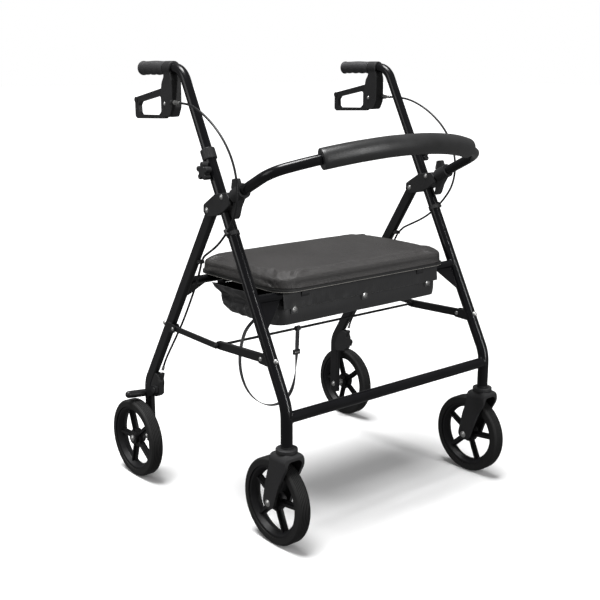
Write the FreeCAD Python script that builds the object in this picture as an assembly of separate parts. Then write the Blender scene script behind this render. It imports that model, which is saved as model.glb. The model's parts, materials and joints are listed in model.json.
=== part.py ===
import FreeCAD, Part
import math
import os

# Folding four-wheeled walker with a seat. Millimetres, +Z up, +Y towards the
# user, origin on the floor under the middle of the wheel footprint.
# The user's right is -X, the user's left is +X.

Vec = FreeCAD.Vector

# ---- driving dimensions ----
HALF_TRACK = 306.0        # centre of a front tube from the middle
LEG_R = 12.7              # one inch frame tube
LEG_WALL = 1.2
FRONT_LEAN = math.radians(27.5)
STEM_Y = -283.0           # caster stem axis
TRAIL = 33.0              # caster axle behind its stem
FRONT_BEND_Z = 306.0
LEG_FOOT_Z = 226.0
COLLAR_TOP_Z = 806.0
REAR_AXLE_Y = 250.0
REAR_BEND_Z = 228.0
WHEEL_R = 95.0
TYRE_W = 31.0
REAR_WHEEL_X = 344.0
PIVOT = (-36.0, 684.0)    # rear frame hinge, Y and Z
SEAT_BAR_Z = 511.0
SEAT_BAR_R = 9.5
SEAT_FRONT_BAR_Y = -176.0
SEAT_REAR_BAR_Y = 67.0
SEAT_BOARD_Z = 521.0
SEAT_TOP_Z = 561.0
SEAT_TUCK = 11.0
SEAT_HALF_W = 270.0
SEAT_Y = (-220.0, 125.0)
HANDLE_R = 11.1           # seven-eighths inch inner tube
GRIP_Z = 975.0
GRIP_START_Y = 125.0
GRIP_END_Y = 224.0
LEVER_PIVOT = (120.0, 900.0)
ADJUSTER_BASE = Vec(HALF_TRACK + 9, 88, 903)
BRAKE_HALF_W = 13.0
BOW_R = 11.1
BOW_SLOPE = math.atan(0.5)
BOW_START = (-104.0, 713.0)
PAD_R = 22.5
PAD_HALF_W = 215.0
LINK_FRONT = (-203.0, 393.0)
KNEE = (-47.0, 387.0)
LINK_REAR = (117.0, 392.0)
BRAKE_PIVOT = (206.0, 222.0)
ROD_R = 3.0
CABLE_R = 2.5
STRAP_R = 6.0
FIT = 0.05                # radial running clearance on every pin
GAP = 0.5                 # between faces that move past each other

SIDES = {"left": 1, "right": -1}
CASTER_Y = STEM_Y + TRAIL


# ---- helpers ----
def leg_y(z):
    """Centre line of the leaning part of a front leg at height z."""
    return STEM_Y + (z - FRONT_BEND_Z) * math.tan(FRONT_LEAN)


def along_leg(z, distance):
    """Point on the leg's centre line, a distance above height z."""
    return Vec(HALF_TRACK, leg_y(z) + distance * math.sin(FRONT_LEAN),
               z + distance * math.cos(FRONT_LEAN))


def rod(start, end, radius):
    axis = end - start
    return Part.makeCylinder(radius, axis.Length, start, axis)


def pin_x(y, z, x0, x1, radius):
    return Part.makeCylinder(radius, x1 - x0, Vec(x0, y, z), Vec(1, 0, 0))


def plate(face, x0, x1):
    """Push a face drawn at X = 0 through from x0 to x1."""
    moved = face.copy()
    moved.translate(Vec(x0, 0, 0))
    return moved.extrude(Vec(x1 - x0, 0, 0))


def rounded_wire(points, radii, closed=False):
    """Straight runs joined by tangent arcs at the inner points."""
    count = len(points)
    corners = range(count) if closed else range(1, count - 1)
    starts, ends, arcs = list(points), list(points), {}
    for i in corners:
        before = points[i - 1] - points[i]
        after = points[(i + 1) % count] - points[i]
        before.normalize()
        after.normalize()
        half = before.getAngle(after) / 2
        radius = radii[i] if isinstance(radii, (list, tuple)) else radii
        if radius <= 0 or half > math.pi / 2 - 1e-4:
            continue
        back = radius / math.tan(half)
        middle = before + after
        middle.normalize()
        starts[i] = points[i] + before * back
        ends[i] = points[i] + after * back
        crown = points[i] + middle * (radius / math.sin(half) - radius)
        arcs[i] = Part.Arc(starts[i], crown, ends[i]).toShape()
    edges = []
    last = count if closed else count - 1
    for i in range(last):
        if i in arcs:
            edges.append(arcs[i])
        start, end = ends[i], starts[(i + 1) % count]
        if (end - start).Length > 1e-3:
            edges.append(Part.LineSegment(start, end).toShape())
    return Part.Wire(edges)


def outline(points, radius):
    """Closed outline in the YZ plane with rounded corners, as a face."""
    corners = [Vec(0, y, z) for y, z in points]
    return Part.Face(rounded_wire(corners, radius, closed=True))


def sweep(path, radius):
    """Solid round bar along a path."""
    first = path.OrderedEdges[0]
    start = first.valueAt(first.FirstParameter)
    direction = first.tangentAt(first.FirstParameter)
    if first.Orientation == "Reversed":
        start = first.valueAt(first.LastParameter)
        direction = first.tangentAt(first.LastParameter) * -1
    ring = Part.Wire([Part.makeCircle(radius, start, direction)])
    return path.makePipeShell([ring], True, False)


def bent_tube(points, radii, outer, inner):
    path = rounded_wire(points, radii)
    body = sweep(path, outer)
    if inner > 0:
        body = body.cut(sweep(path, inner))
    return body


def cord(points, radius):
    """Limp round cord: each arc takes 0.45 of the shorter run beside it."""
    radii = [0]
    for a, b, c in zip(points, points[1:], points[2:]):
        turn = (b - a).getAngle(c - b)
        shorter = min((b - a).Length, (c - b).Length)
        radii.append(0.45 * shorter / math.tan(turn / 2))
    radii.append(0)
    path = rounded_wire(points, radii)
    bends = ", ".join("%.0f" % value for value in radii[1:-1])
    print("cord: length %.0f mm, bend radii %s mm" % (path.Length, bends))
    return sweep(path, radius)


def to_side(shape, sign):
    """Parts are drawn on the user's left (+X) and mirrored to the right."""
    return shape if sign > 0 else shape.mirror(Vec(0, 0, 0), Vec(1, 0, 0))


def both(shape):
    return [to_side(shape, 1), to_side(shape, -1)]


def fuse(shapes):
    return shapes[0].multiFuse(shapes[1:]).removeSplitter()


def save(name, shapes):
    shapes = shapes if isinstance(shapes, list) else [shapes]
    solids = [solid for shape in shapes for solid in shape.Solids]
    result = solids[0] if len(solids) == 1 else Part.makeCompound(solids)
    assert result.isValid() and result.Volume > 0, name
    os.makedirs("parts", exist_ok=True)
    result.exportStep("parts/%s.step" % name)
    return result


# ---- front frame ----
def front_leg_path():
    points = [Vec(HALF_TRACK, STEM_Y, LEG_FOOT_Z), Vec(HALF_TRACK, STEM_Y, FRONT_BEND_Z),
              Vec(HALF_TRACK, leg_y(COLLAR_TOP_Z), COLLAR_TOP_Z)]
    return rounded_wire(points, [0, 90, 0])


def front_leg():
    path = front_leg_path()
    leg = sweep(path, LEG_R).cut(sweep(path, LEG_R - LEG_WALL))
    knob = knob_axis()
    return leg.cut(pin_x(knob[0], knob[1], HALF_TRACK, HALF_TRACK + 30, 3.0 + FIT))


def lower_crossbar():
    y, z = STEM_Y, 285.0
    bar = pin_x(y, z, -HALF_TRACK, HALF_TRACK, LEG_R - 0.7)
    bar = bar.cut(pin_x(y, z, -HALF_TRACK, HALF_TRACK, LEG_R - 0.7 - LEG_WALL))
    for leg in both(sweep(front_leg_path(), LEG_R)):
        bar = bar.cut(leg)
    return max(bar.Solids, key=lambda s: s.Volume)


def gusset(bar_y, lean, inner_x, drop, outer_x):
    """Triangular web between a seat bar and the leg that it is welded to."""
    down = Vec(0, -math.sin(lean), -math.cos(lean))
    top = Vec(0, bar_y, SEAT_BAR_Z)
    corners = [top + Vec(inner_x, 0, 0) + down * (SEAT_BAR_R - 2),
               top + Vec(outer_x, 0, 0) + down * (SEAT_BAR_R - 2),
               top + Vec(outer_x, 0, 0) + down * drop,
               top + Vec(outer_x - 8, 0, 0) + down * drop]
    face = Part.Face(Part.makePolygon(corners + corners[:1]))
    normal = Vec(0, math.cos(lean), -math.sin(lean))
    face.translate(normal * -1.5)
    return face.extrude(normal * 3)


def seat_front_crossbar():
    y = leg_y(SEAT_BAR_Z)
    bar = pin_x(y, SEAT_BAR_Z, -HALF_TRACK, HALF_TRACK, SEAT_BAR_R)
    bore = pin_x(y, SEAT_BAR_Z, -HALF_TRACK, HALF_TRACK, SEAT_BAR_R - LEG_WALL)
    webs = both(gusset(y, FRONT_LEAN, 239, 62, HALF_TRACK - 8))
    bar = fuse([bar] + webs).cut(bore)
    for leg in both(rod(along_leg(SEAT_BAR_Z, -120), along_leg(SEAT_BAR_Z, 60), LEG_R)):
        bar = bar.cut(leg)
    return max(bar.Solids, key=lambda s: s.Volume)


def hinge_bracket():
    """Moulded cheek block clamped round the front leg; the rear leg turns in it."""
    face = outline([(-38, 670), (-23, 677.5), (-24, 695), (-66, 721), (-107, 728), (-118, 717),
                    (-117, 702), (-96, 687), (-72, 676)], 7)
    block = plate(face, HALF_TRACK - 15.5, HALF_TRACK + 15.5)
    block = block.makeFillet(1.5, [e for e in block.Edges if e.Curve.TypeId == "Part::GeomLine"
                                   and abs(e.tangentAt(e.FirstParameter).x) < 0.01])
    leg = rod(along_leg(640, 0), along_leg(760, 0), LEG_R)
    behind = Part.makeBox(15, 80, 120, Vec(HALF_TRACK - 8.5, LEG_R + 3.0, -60))
    behind.rotate(Vec(HALF_TRACK, 0, 0), Vec(1, 0, 0), -math.degrees(FRONT_LEAN))
    behind.translate(Vec(0, leg_y(700), 700))
    block = block.cut(leg).cut(behind)
    bow = rod(bow_point(0, 0), bow_point(0, 60), BOW_R)
    block = block.cut(bow)
    block = block.cut(pin_x(PIVOT[0], PIVOT[1], HALF_TRACK - 20, HALF_TRACK + 20, 4.0))
    return block.cut(pin_x(-90, 717, HALF_TRACK - 20, HALF_TRACK + 20, 3.0))


def height_collar():
    low, high = along_leg(COLLAR_TOP_Z, -20), along_leg(COLLAR_TOP_Z, 4)
    sleeve = rod(low, high, 16.0)
    sleeve = sleeve.makeFillet(1.8, sleeve.Edges[:1] + sleeve.Edges[2:3])
    sleeve = sleeve.cut(rod(low, along_leg(COLLAR_TOP_Z, 0), LEG_R))
    return sleeve.cut(rod(low, along_leg(COLLAR_TOP_Z, 8), HANDLE_R + 0.35))


def bow_point(inward, forward):
    """Point in the sloping plane of the backrest bow."""
    return Vec(HALF_TRACK - inward, BOW_START[0] - forward * math.cos(BOW_SLOPE),
               BOW_START[1] + forward * math.sin(BOW_SLOPE))


def backrest_path():
    reach = 246.0
    left = [bow_point(0, 0), bow_point(0, 146.5), bow_point(HALF_TRACK - 150, reach)]
    right = [Vec(-p.x, p.y, p.z) for p in reversed(left)]
    return left + right


def backrest_tube():
    corner = backrest_path()[2]
    turn = (corner - backrest_path()[1]).getAngle(Vec(-1, 0, 0))
    crown = 149.0 / math.tan(turn / 2)
    return bent_tube(backrest_path(), [0, 60, crown, crown, 60, 0], BOW_R, BOW_R - LEG_WALL)


def backrest_pad():
    corner = backrest_path()[2]
    turn = (corner - backrest_path()[1]).getAngle(Vec(-1, 0, 0))
    crown = 149.0 / math.tan(turn / 2)
    path = rounded_wire(backrest_path(), [0, 60, crown, crown, 60, 0])
    pad = sweep(path, PAD_R).cut(sweep(path, BOW_R))
    keep = Part.makeBox(2 * PAD_HALF_W, 400, 400, Vec(-PAD_HALF_W, -420, 600))
    return pad.common(keep)


def backrest_socket():
    """Moulded socket on the bow with a tab above and a tongue below."""
    sleeve = rod(bow_point(0, 17), bow_point(0, 50), 16.0)
    tab = plate(outline([(-112, 736), (-116, 756), (-128, 758), (-138, 738), (-134, 724)], 4),
                HALF_TRACK - 6, HALF_TRACK + 6)
    tongue = plate(outline([(-121, 715), (-146, 732), (-147, 721), (-134, 700), (-127, 680),
                            (-120, 672), (-113, 677), (-116, 694)], 4),
                   HALF_TRACK - 6.5, HALF_TRACK + 6.5)
    socket = fuse([sleeve, tab, tongue])
    socket = socket.cut(rod(bow_point(0, -5), bow_point(0, 80), BOW_R))
    return socket.cut(hinge_bracket())


def front_clevis():
    """U bracket behind the front leg that holds the front link."""
    y, z = LINK_FRONT
    face = outline([(y - 34, z + 12), (y + 6, z + 10), (y + 9, z), (y + 6, z - 10),
                    (y - 40, z - 12)], 4)
    block = plate(face, HALF_TRACK - 12.5, HALF_TRACK + 4.5)
    slot = Part.makeBox(11, 80, 60, Vec(HALF_TRACK - 9.5, y - 12, z - 30))
    block = block.cut(rod(along_leg(z, -60), along_leg(z, 60), LEG_R)).cut(slot)
    block = max(block.Solids, key=lambda s: s.Volume)
    return block.cut(pin_x(y, z, 200, 400, 3.0))


def stem_bearing():
    flange = Part.makeCylinder(LEG_R, 3.5, Vec(HALF_TRACK, STEM_Y, LEG_FOOT_Z - 3.5))
    insert = Part.makeCylinder(LEG_R - LEG_WALL, 30, Vec(HALF_TRACK, STEM_Y, LEG_FOOT_Z))
    bore = Part.makeCylinder(6 + FIT, 60, Vec(HALF_TRACK, STEM_Y, LEG_FOOT_Z - 10))
    return flange.fuse(insert).removeSplitter().cut(bore)


def dome_bolt(y, z, x0, x1, radius, head):
    """Pin along X with a domed head at each end."""
    parts = [pin_x(y, z, x0, x1, radius)]
    for x, sign in ((x0, -1), (x1, 1)):
        dome = Part.makeSphere(head * 1.25, Vec(x - sign * head * 0.75, y, z))
        start = x if sign > 0 else x - 2 * head
        parts.append(dome.common(pin_x(y, z, start, start + 2 * head, head)))
    return fuse(parts)


def front_frame_bolts():
    outer, inner = HALF_TRACK + 15.5, HALF_TRACK - 15.5
    y, z = LINK_FRONT
    bolts = [dome_bolt(PIVOT[0], PIVOT[1], inner, outer, 4.0, 6.0),
             dome_bolt(-90, 717, inner, outer, 3.0, 5.5),
             dome_bolt(y, z, HALF_TRACK - 12.5, HALF_TRACK + 4.5, 3.0, 5.0)]
    screw = Part.makeSphere(6.0, Vec(HALF_TRACK, leg_y(z + 4) - LEG_R - 1, z + 4))
    screw = screw.cut(rod(along_leg(z, -60), along_leg(z, 60), LEG_R))
    bolts.append(max(screw.Solids, key=lambda s: s.Volume))
    return [bolt for item in bolts for bolt in both(item)]


def front_cable_clip():
    """Moulded clip screwed to the outside of the front leg; it holds the brake cable."""
    low, high = along_leg(637, 0), along_leg(637, 9)
    band = rod(low, high, LEG_R + 1.6).cut(rod(low, high, LEG_R))
    eye = rod(Vec(HALF_TRACK + 16.1, -113, 641), Vec(HALF_TRACK + 15.7, -104, 650), 5.0)
    clip = fuse([band, eye]).cut(sweep(front_leg_path(), LEG_R))
    for path in (LOOP_ROUTE, FOLD_ROUTE):
        clip = clip.cut(cable_route(path, CABLE_R + 0.3))
    return max(clip.Solids, key=lambda s: s.Volume)


# ---- soft goods ----
def storage_bag():
    """Open-topped bag under the seat, hung on the two seat bars by tabs."""
    half, low, high = 245.0, 446.0, 497.0
    front, back = SEAT_FRONT_BAR_Y - 4, SEAT_REAR_BAR_Y - 4
    shell = Part.makeBox(2 * half, back - front, high - low, Vec(-half, front, low))
    corners = [e for e in shell.Edges if abs(e.tangentAt(0).z) > 0.9]
    shell = shell.makeFillet(22, corners)
    shell = shell.makeFillet(12, [e for e in shell.Edges if e.BoundBox.ZMax < low + 0.1])
    inner = Part.makeBox(2 * half - 6, back - front - 6, high, Vec(-half + 3, front + 3, low + 3))
    inner = inner.makeFillet(19, [e for e in inner.Edges if abs(e.tangentAt(0).z) > 0.9])
    shell = shell.cut(inner)
    tabs = []
    for x in (-205, 0, 205):
        for y, bar in ((front, leg_y(SEAT_BAR_Z)), (back - 3, SEAT_REAR_BAR_Y)):
            tab = Part.makeBox(30, 3, 14, Vec(x - 15, y, high - 4))
            tabs.append(tab.cut(pin_x(bar, SEAT_BAR_Z, -300, 300, SEAT_BAR_R + 0.3)))
    return fuse([shell] + tabs)


STRAP_ROUTE = [(-206, -62, 439), (-238, -63, 424), (-256, -63, 386), (-259, -59, 336),
               (-244, -55, 286), (-217, -52, 247), (-180, -50, 221), (-141, -48, 213),
               (-107, -47, 226), (-90, -47, 259), (-84.5, -47, 312), (-82, -47, 352),
               (-81, -47, 382)]


def fold_strap():
    return cord([Vec(*point) for point in STRAP_ROUTE], STRAP_R)


def strap_slide():
    """Small tri-glide buckle on the strap below the knee rod."""
    frame = Part.makeBox(22, 16, 9, Vec(-84.4 - 11, -47 - 8, 326))
    frame = frame.makeFillet(2, [e for e in frame.Edges if abs(e.tangentAt(0).z) > 0.9])
    return frame.cut(fold_strap())


# ---- handles ----
def handle_path():
    corner = Vec(HALF_TRACK, leg_y(GRIP_Z), GRIP_Z)
    end = Vec(HALF_TRACK, GRIP_END_Y - 6, GRIP_Z)
    return rounded_wire([along_leg(650, 0), corner, end], [0, 45, 0])


def handle_tube():
    return sweep(handle_path(), HANDLE_R).cut(sweep(handle_path(), HANDLE_R - 1.5))


def hand_grip():
    start, end = GRIP_START_Y, GRIP_END_Y
    length = end - start
    profile = [Vec(HANDLE_R, 0, 0), Vec(14.6, 0, 0), Vec(15.6, 3, 0), Vec(14.6, 8, 0),
               Vec(15.9, length * 0.45, 0), Vec(14.6, length * 0.78, 0), Vec(16.2, length - 4, 0),
               Vec(14.4, length, 0), Vec(0, length, 0), Vec(0, length - 6, 0),
               Vec(HANDLE_R, length - 6, 0)]
    wire = rounded_wire(profile, [0, 1, 1, 3, 60, 30, 2, 1, 0, 0, 0], closed=True)
    grip = Part.Face(wire).revolve(Vec(0, 0, 0), Vec(0, 1, 0), 360)
    grip.translate(Vec(HALF_TRACK, start, GRIP_Z))
    return grip


def brake_housing():
    ring = Part.makeCylinder(15.7, 28, Vec(HALF_TRACK, 96, GRIP_Z), Vec(0, 1, 0))
    ring = ring.makeFillet(2, ring.Edges[:1] + ring.Edges[2:3])
    face = outline([(97, 972), (90, 950), (89, 925), (90, 892), (100, 872), (126, 870),
                    (136, 880), (136, 930), (131, 946), (123.5, 957), (123.5, 972)],
                   [6, 12, 12, 12, 8, 8, 8, 8, 6, 6, 4])
    body = plate(face, HALF_TRACK - BRAKE_HALF_W, HALF_TRACK + BRAKE_HALF_W)
    body = body.makeFillet(3, [e for e in body.Edges
                               if abs(e.tangentAt(e.FirstParameter).x) < 0.01])
    boss = rod(ADJUSTER_BASE + Vec(0, 8, 0), ADJUSTER_BASE, 6.5)
    housing = fuse([ring, body, boss]).cut(sweep(handle_path(), HANDLE_R))
    slot = Part.makeBox(12.4, 60, 78, Vec(HALF_TRACK - 6.2, 102, 862))
    housing = housing.cut(slot)
    y, z = LEVER_PIVOT
    return housing.cut(pin_x(y, z, HALF_TRACK - 20, HALF_TRACK + 20, 3.0))


def brake_hardware():
    """Lever pin and the threaded cable adjuster with its lock nut."""
    y, z = LEVER_PIVOT
    pin = dome_bolt(y, z, HALF_TRACK - BRAKE_HALF_W, HALF_TRACK + BRAKE_HALF_W, 3.0, 4.5)
    steps = [(0, 4, 4.2), (4, 10, 5.2), (10, 15, 3.4)]
    barrel = [rod(ADJUSTER_BASE - Vec(0, start, 0), ADJUSTER_BASE - Vec(0, end, 0), radius)
              for start, end, radius in steps]
    return [pin, fuse(barrel)]


def brake_lever():
    """Closed loop lever: squeeze it up to brake."""
    y, z = LEVER_PIVOT
    x0, x1 = HALF_TRACK - 5, HALF_TRACK + 5
    web = plate(outline([(111, 931), (134, 935), (146, 926), (144, 871), (113, 873)], 4), x0, x1)
    bars = plate(outline([(130, 934), (146, 932), (252, 911), (258, 903), (258, 868), (250, 863),
                          (134, 867), (132, 880)], 4), x0, x1)
    finger = plate(outline([(147, 914), (156, 916), (236, 901), (243, 893), (242, 877),
                            (237, 872), (156, 874), (147, 882)], 5), x0 - 1, x1 + 1)
    ball = pin_x(253, 905, x0 - 1, x1 + 1, 6.5)
    lever = fuse([web, bars.cut(finger), ball])
    return lever.cut(pin_x(y, z, x0 - 2, x1 + 2, 3.0 + FIT))


def knob_axis():
    point = along_leg(COLLAR_TOP_Z, -44)
    return point.y, point.z


def height_knob():
    """Star knob on a bolt that bears on the inner tube."""
    y, z = knob_axis()
    x = HALF_TRACK + 17
    lobes = [pin_x(y, z, x, x + 14, 12)]
    for i in range(5):
        angle = math.radians(72 * i + 18)
        lobes.append(pin_x(y + 14 * math.cos(angle), z + 14 * math.sin(angle), x, x + 14, 6))
    star = fuse(lobes)
    star = star.makeFillet(1.5, [e for e in star.Edges if e.BoundBox.XLength < 0.01])
    boss = pin_x(y, z, HALF_TRACK + 13.4, x, 7)
    bolt = pin_x(y, z, HALF_TRACK + HANDLE_R + 0.35, x + 4, 3.0)
    return fuse([star, boss, bolt])


# ---- wheels ----
def wheel_tyre(x, y, half):
    """Flat tread with grooves and rounded shoulders, on a rim seat."""
    seat, top = 79.0, WHEEL_R
    profile = [Vec(-half, seat, 0), Vec(-half, top - 4, 0), Vec(-half + 4, top, 0)]
    grooves = (-10, -6, -2, 2, 6, 10)
    for groove in grooves:
        profile += [Vec(groove - 0.9, top, 0), Vec(groove - 0.5, top - 1.6, 0),
                    Vec(groove + 0.5, top - 1.6, 0), Vec(groove + 0.9, top, 0)]
    profile += [Vec(half - 4, top, 0), Vec(half, top - 4, 0), Vec(half, seat, 0)]
    radii = [0, 3, 2] + [0] * 4 * len(grooves) + [2, 3, 0]
    wire = rounded_wire(profile, radii, closed=True)
    tyre = Part.Face(wire).revolve(Vec(0, 0, 0), Vec(1, 0, 0), 360)
    tyre.translate(Vec(x, y, WHEEL_R))
    return tyre


def wheel_rim(x, y, hub_half, turn):
    """Moulded rim: dished ring, five ribbed spokes and a hub."""
    ring = [Vec(-13, 79, 0), Vec(-13, 73, 0), Vec(-3.5, 66, 0), Vec(3.5, 66, 0), Vec(13, 73, 0),
            Vec(13, 79, 0)]
    face = Part.Face(rounded_wire(ring, [0, 1.5, 3, 3, 1.5, 0], closed=True))
    parts = [face.revolve(Vec(0, 0, 0), Vec(1, 0, 0), 360), pin_x(0, 0, -hub_half, hub_half, 15)]
    parts.append(pin_x(0, 0, -6, 6, 22))
    for i in range(5):
        web = Part.makeBox(6, 14, 54, Vec(-3, -7, 14))
        rib = Part.makeBox(16, 4.5, 54, Vec(-8, -2.25, 14))
        spoke = web.fuse(rib)
        spoke.rotate(Vec(0, 0, 0), Vec(1, 0, 0), 72 * i + turn)
        parts.append(spoke)
    rim = fuse(parts).cut(pin_x(0, 0, -40, 40, 8.0))
    rim.translate(Vec(x, y, WHEEL_R))
    return rim


def wheel_bush(x, y, half):
    bush = pin_x(y, WHEEL_R, x - half, x + half, 8.0)
    return bush.cut(pin_x(y, WHEEL_R, x - half, x + half, 5.0 + FIT))


def caster_fork():
    x, y, top = HALF_TRACK, STEM_Y, LEG_FOOT_Z - 4
    side = outline([(y - 26, top - 8), (y - 27, top - 34), (y - 6, 150), (CASTER_Y - 17, 88),
                    (CASTER_Y, 80), (CASTER_Y + 17, 92), (y + 38, 150), (y + 26, top - 34),
                    (y + 26, top - 8)], [9, 30, 40, 15, 15, 15, 40, 30, 9])
    blade = plate(side, x - 25.5, x + 25.5)
    front = [(-25.5, top - 5), (-25.5, 70), (25.5, 70), (25.5, top - 5)]
    corners = [Vec(x + a, y - 60, z) for a, z in front]
    shape = Part.Face(rounded_wire(corners, [20, 0, 0, 20], closed=True))
    fork = blade.common(shape.extrude(Vec(0, 160, 0)))
    arch = [Vec(x - 18.5, y - 80, 20), Vec(x - 18.5, y - 80, 201), Vec(x + 18.5, y - 80, 201),
            Vec(x + 18.5, y - 80, 20)]
    slot = Part.Face(rounded_wire(arch, [0, 10, 10, 0], closed=True)).extrude(Vec(0, 200, 0))
    fork = fork.cut(slot)
    flange = Part.makeCylinder(23, 7, Vec(x, y, top - 7))
    flange = flange.makeFillet(2, flange.Edges[:1])
    neck = Part.makeCone(20, 22, 8, Vec(x, y, top - 13))
    fork = fuse([fork, neck, flange])
    fork = fork.cut(Part.makeCylinder(6, 60, Vec(x, y, top - 14)))
    return fork.cut(pin_x(CASTER_Y, WHEEL_R, x - 40, x + 40, 5.0))


def caster_hardware():
    """Stem with its retaining head, and the wheel axle with domed ends."""
    x, y = HALF_TRACK, STEM_Y
    stem = Part.makeCylinder(6, LEG_FOOT_Z + 34 - 208, Vec(x, y, 208))
    head = Part.makeCylinder(9, 4, Vec(x, y, LEG_FOOT_Z + 30 + GAP))
    axle = dome_bolt(CASTER_Y, WHEEL_R, x - 25.5, x + 25.5, 5.0, 8.0)
    return [fuse([stem, head]), axle]


# ---- rear frame ----
def rear_leg_face(half, top_skip, foot):
    """Side view of the rear leg: leaning run, bend and upright foot."""
    start = Vec(0, PIVOT[0], PIVOT[1])
    bend = Vec(0, REAR_AXLE_Y, REAR_BEND_Z)
    lean = bend - start
    lean.normalize()
    across = Vec(0, -lean.z, lean.y)
    start = start + lean * top_skip
    mitre = half * math.tan(lean.getAngle(Vec(0, 0, -1)) / 2)
    front = [start - across * half, bend + Vec(0, -half, -mitre), Vec(0, REAR_AXLE_Y - half, foot)]
    back = [Vec(0, REAR_AXLE_Y + half, foot), bend + Vec(0, half, mitre), start + across * half]
    wire = rounded_wire(front + back, [0, 60 - half, 0, 0, 60 + half, 0], closed=True)
    return Part.Face(wire)


def rear_leg():
    leg = plate(rear_leg_face(14, 0, 75), HALF_TRACK - 8, HALF_TRACK + 6)
    knuckle = pin_x(PIVOT[0], PIVOT[1], HALF_TRACK - 8, HALF_TRACK + 6, 14)
    leg = fuse([leg, knuckle])
    long_edges = [e for e in leg.Edges if e.BoundBox.XLength < 0.01 and e.BoundBox.ZMax > 76]
    leg = leg.makeFillet(4.5, long_edges)
    leg = leg.cut(plate(rear_leg_face(12.3, 22, 60), HALF_TRACK - 6.3, HALF_TRACK + 4.3))
    leg = leg.cut(pin_x(PIVOT[0], PIVOT[1], HALF_TRACK - 20, HALF_TRACK + 20, 4.0 + FIT))
    return leg.cut(pin_x(REAR_AXLE_Y, WHEEL_R, HALF_TRACK - 20, HALF_TRACK + 20, 5.0))


def rear_lean():
    return math.atan((REAR_AXLE_Y - PIVOT[0]) / (PIVOT[1] - REAR_BEND_Z))


def seat_rear_crossbar():
    x = HALF_TRACK - 8
    bar = pin_x(SEAT_REAR_BAR_Y, SEAT_BAR_Z, -x, x, SEAT_BAR_R)
    bore = pin_x(SEAT_REAR_BAR_Y, SEAT_BAR_Z, -x, x, SEAT_BAR_R - LEG_WALL)
    webs = both(gusset(SEAT_REAR_BAR_Y, -rear_lean(), 251, 44, x))
    return fuse([bar] + webs).cut(bore)


def rear_clevis():
    """Two ears in front of the rear leg that hold the rear link."""
    y, z = LINK_REAR
    face = outline([(y - 9, z - 2), (y - 6, z + 10), (y + 24, z + 12), (y + 34, z - 12),
                    (y - 4, z - 9)], 4)
    block = plate(face, HALF_TRACK - 2, HALF_TRACK + 12.5)
    block = block.cut(plate(rear_leg_face(14, 0, 75), HALF_TRACK - 8, HALF_TRACK + 6))
    block = block.cut(Part.makeBox(7.4, 34, 60, Vec(HALF_TRACK + 1.8, y - 24, z - 30)))
    block = max(block.Solids, key=lambda s: s.Volume)
    return block.cut(pin_x(y, z, 200, 400, 3.0))


def rear_axle():
    """Long bolt with a domed head inboard, spacer and outer washer."""
    y, z = REAR_AXLE_Y, WHEEL_R
    bolt = dome_bolt(y, z, HALF_TRACK - 8, REAR_WHEEL_X + 16, 5.0, 7.0)
    spacer = pin_x(y, z, HALF_TRACK + 6, REAR_WHEEL_X - 15.5 - GAP, 9.0)
    return fuse([bolt, spacer])


def rear_frame_bolts():
    y, z = LINK_REAR
    bolts = [dome_bolt(y, z, HALF_TRACK - 2, HALF_TRACK + 12.5, 3.0, 5.0)]
    back = Part.makeSphere(6.5, Vec(HALF_TRACK - 1, 166.5, z + 3))
    back = back.cut(plate(rear_leg_face(14, 0, 75), HALF_TRACK - 8, HALF_TRACK + 6))
    bolts.append(max(back.Solids, key=lambda s: s.Volume))
    return [bolt for item in bolts for bolt in both(item)]


def rear_cable_clip():
    """Clip on the front face of the rear leg; it holds the brake cable."""
    block = Part.makeBox(11, 14, 8, Vec(HALF_TRACK - 7.5, 10, 559))
    block = block.makeFillet(2, [e for e in block.Edges if abs(e.tangentAt(0).x) > 0.9])
    block = block.cut(plate(rear_leg_face(14, 0, 75), HALF_TRACK - 8, HALF_TRACK + 6))
    for path in (LEG_ROUTE, FOLD_ROUTE):
        block = block.cut(cable_route(path, CABLE_R + 0.3))
    return max(block.Solids, key=lambda s: s.Volume)




def brake_mount():
    """Moulded brake body bolted to the front of the rear leg."""
    face = outline([(214, 262), (200, 257), (194, 242), (197, 212), (208, 203), (240, 198),
                    (244, 214), (232, 244)], 5)
    block = plate(face, HALF_TRACK - 9, HALF_TRACK + 6)
    block = block.cut(plate(rear_leg_face(14, 0, 75), HALF_TRACK - 8, HALF_TRACK + 6))
    block = max(block.Solids, key=lambda s: s.Volume)
    y, z = BRAKE_PIVOT
    post = pin_x(y, z, HALF_TRACK - 9, HALF_TRACK + 14.5, 4.0)
    cap = pin_x(y, z, HALF_TRACK + 14.5, HALF_TRACK + 17, 6.5)
    block = fuse([block, post, cap])
    leg_cable = Vec(HALF_TRACK - 4, 197, 262)
    socket = Part.makeCylinder(5.0, 14, leg_cable + Vec(0, 0, -12), Vec(0, -0.35, 1))
    return fuse([block, socket])


def brake_arm():
    """Arm and round shoe that presses on the top of the rear tyre."""
    y, z = BRAKE_PIVOT
    x0, x1 = HALF_TRACK + 7, HALF_TRACK + 14
    arm = plate(outline([(y - 9, z - 6), (y - 8, z + 9), (y + 8, z + 9), (254, 210), (256, 196),
                         (242, 194), (y + 4, z - 11)], 4), x0, x1)
    shoe = rod(Vec(x0 + 3, 250, 203.5), Vec(REAR_WHEEL_X + 18, 252, 207.5), 9)
    tip = Part.makeSphere(9, Vec(REAR_WHEEL_X + 18, 252, 207.5))
    arm = fuse([arm, shoe, tip])
    return arm.cut(pin_x(y, z, x0 - 2, x1 + 2, 4.0 + FIT))


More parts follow.
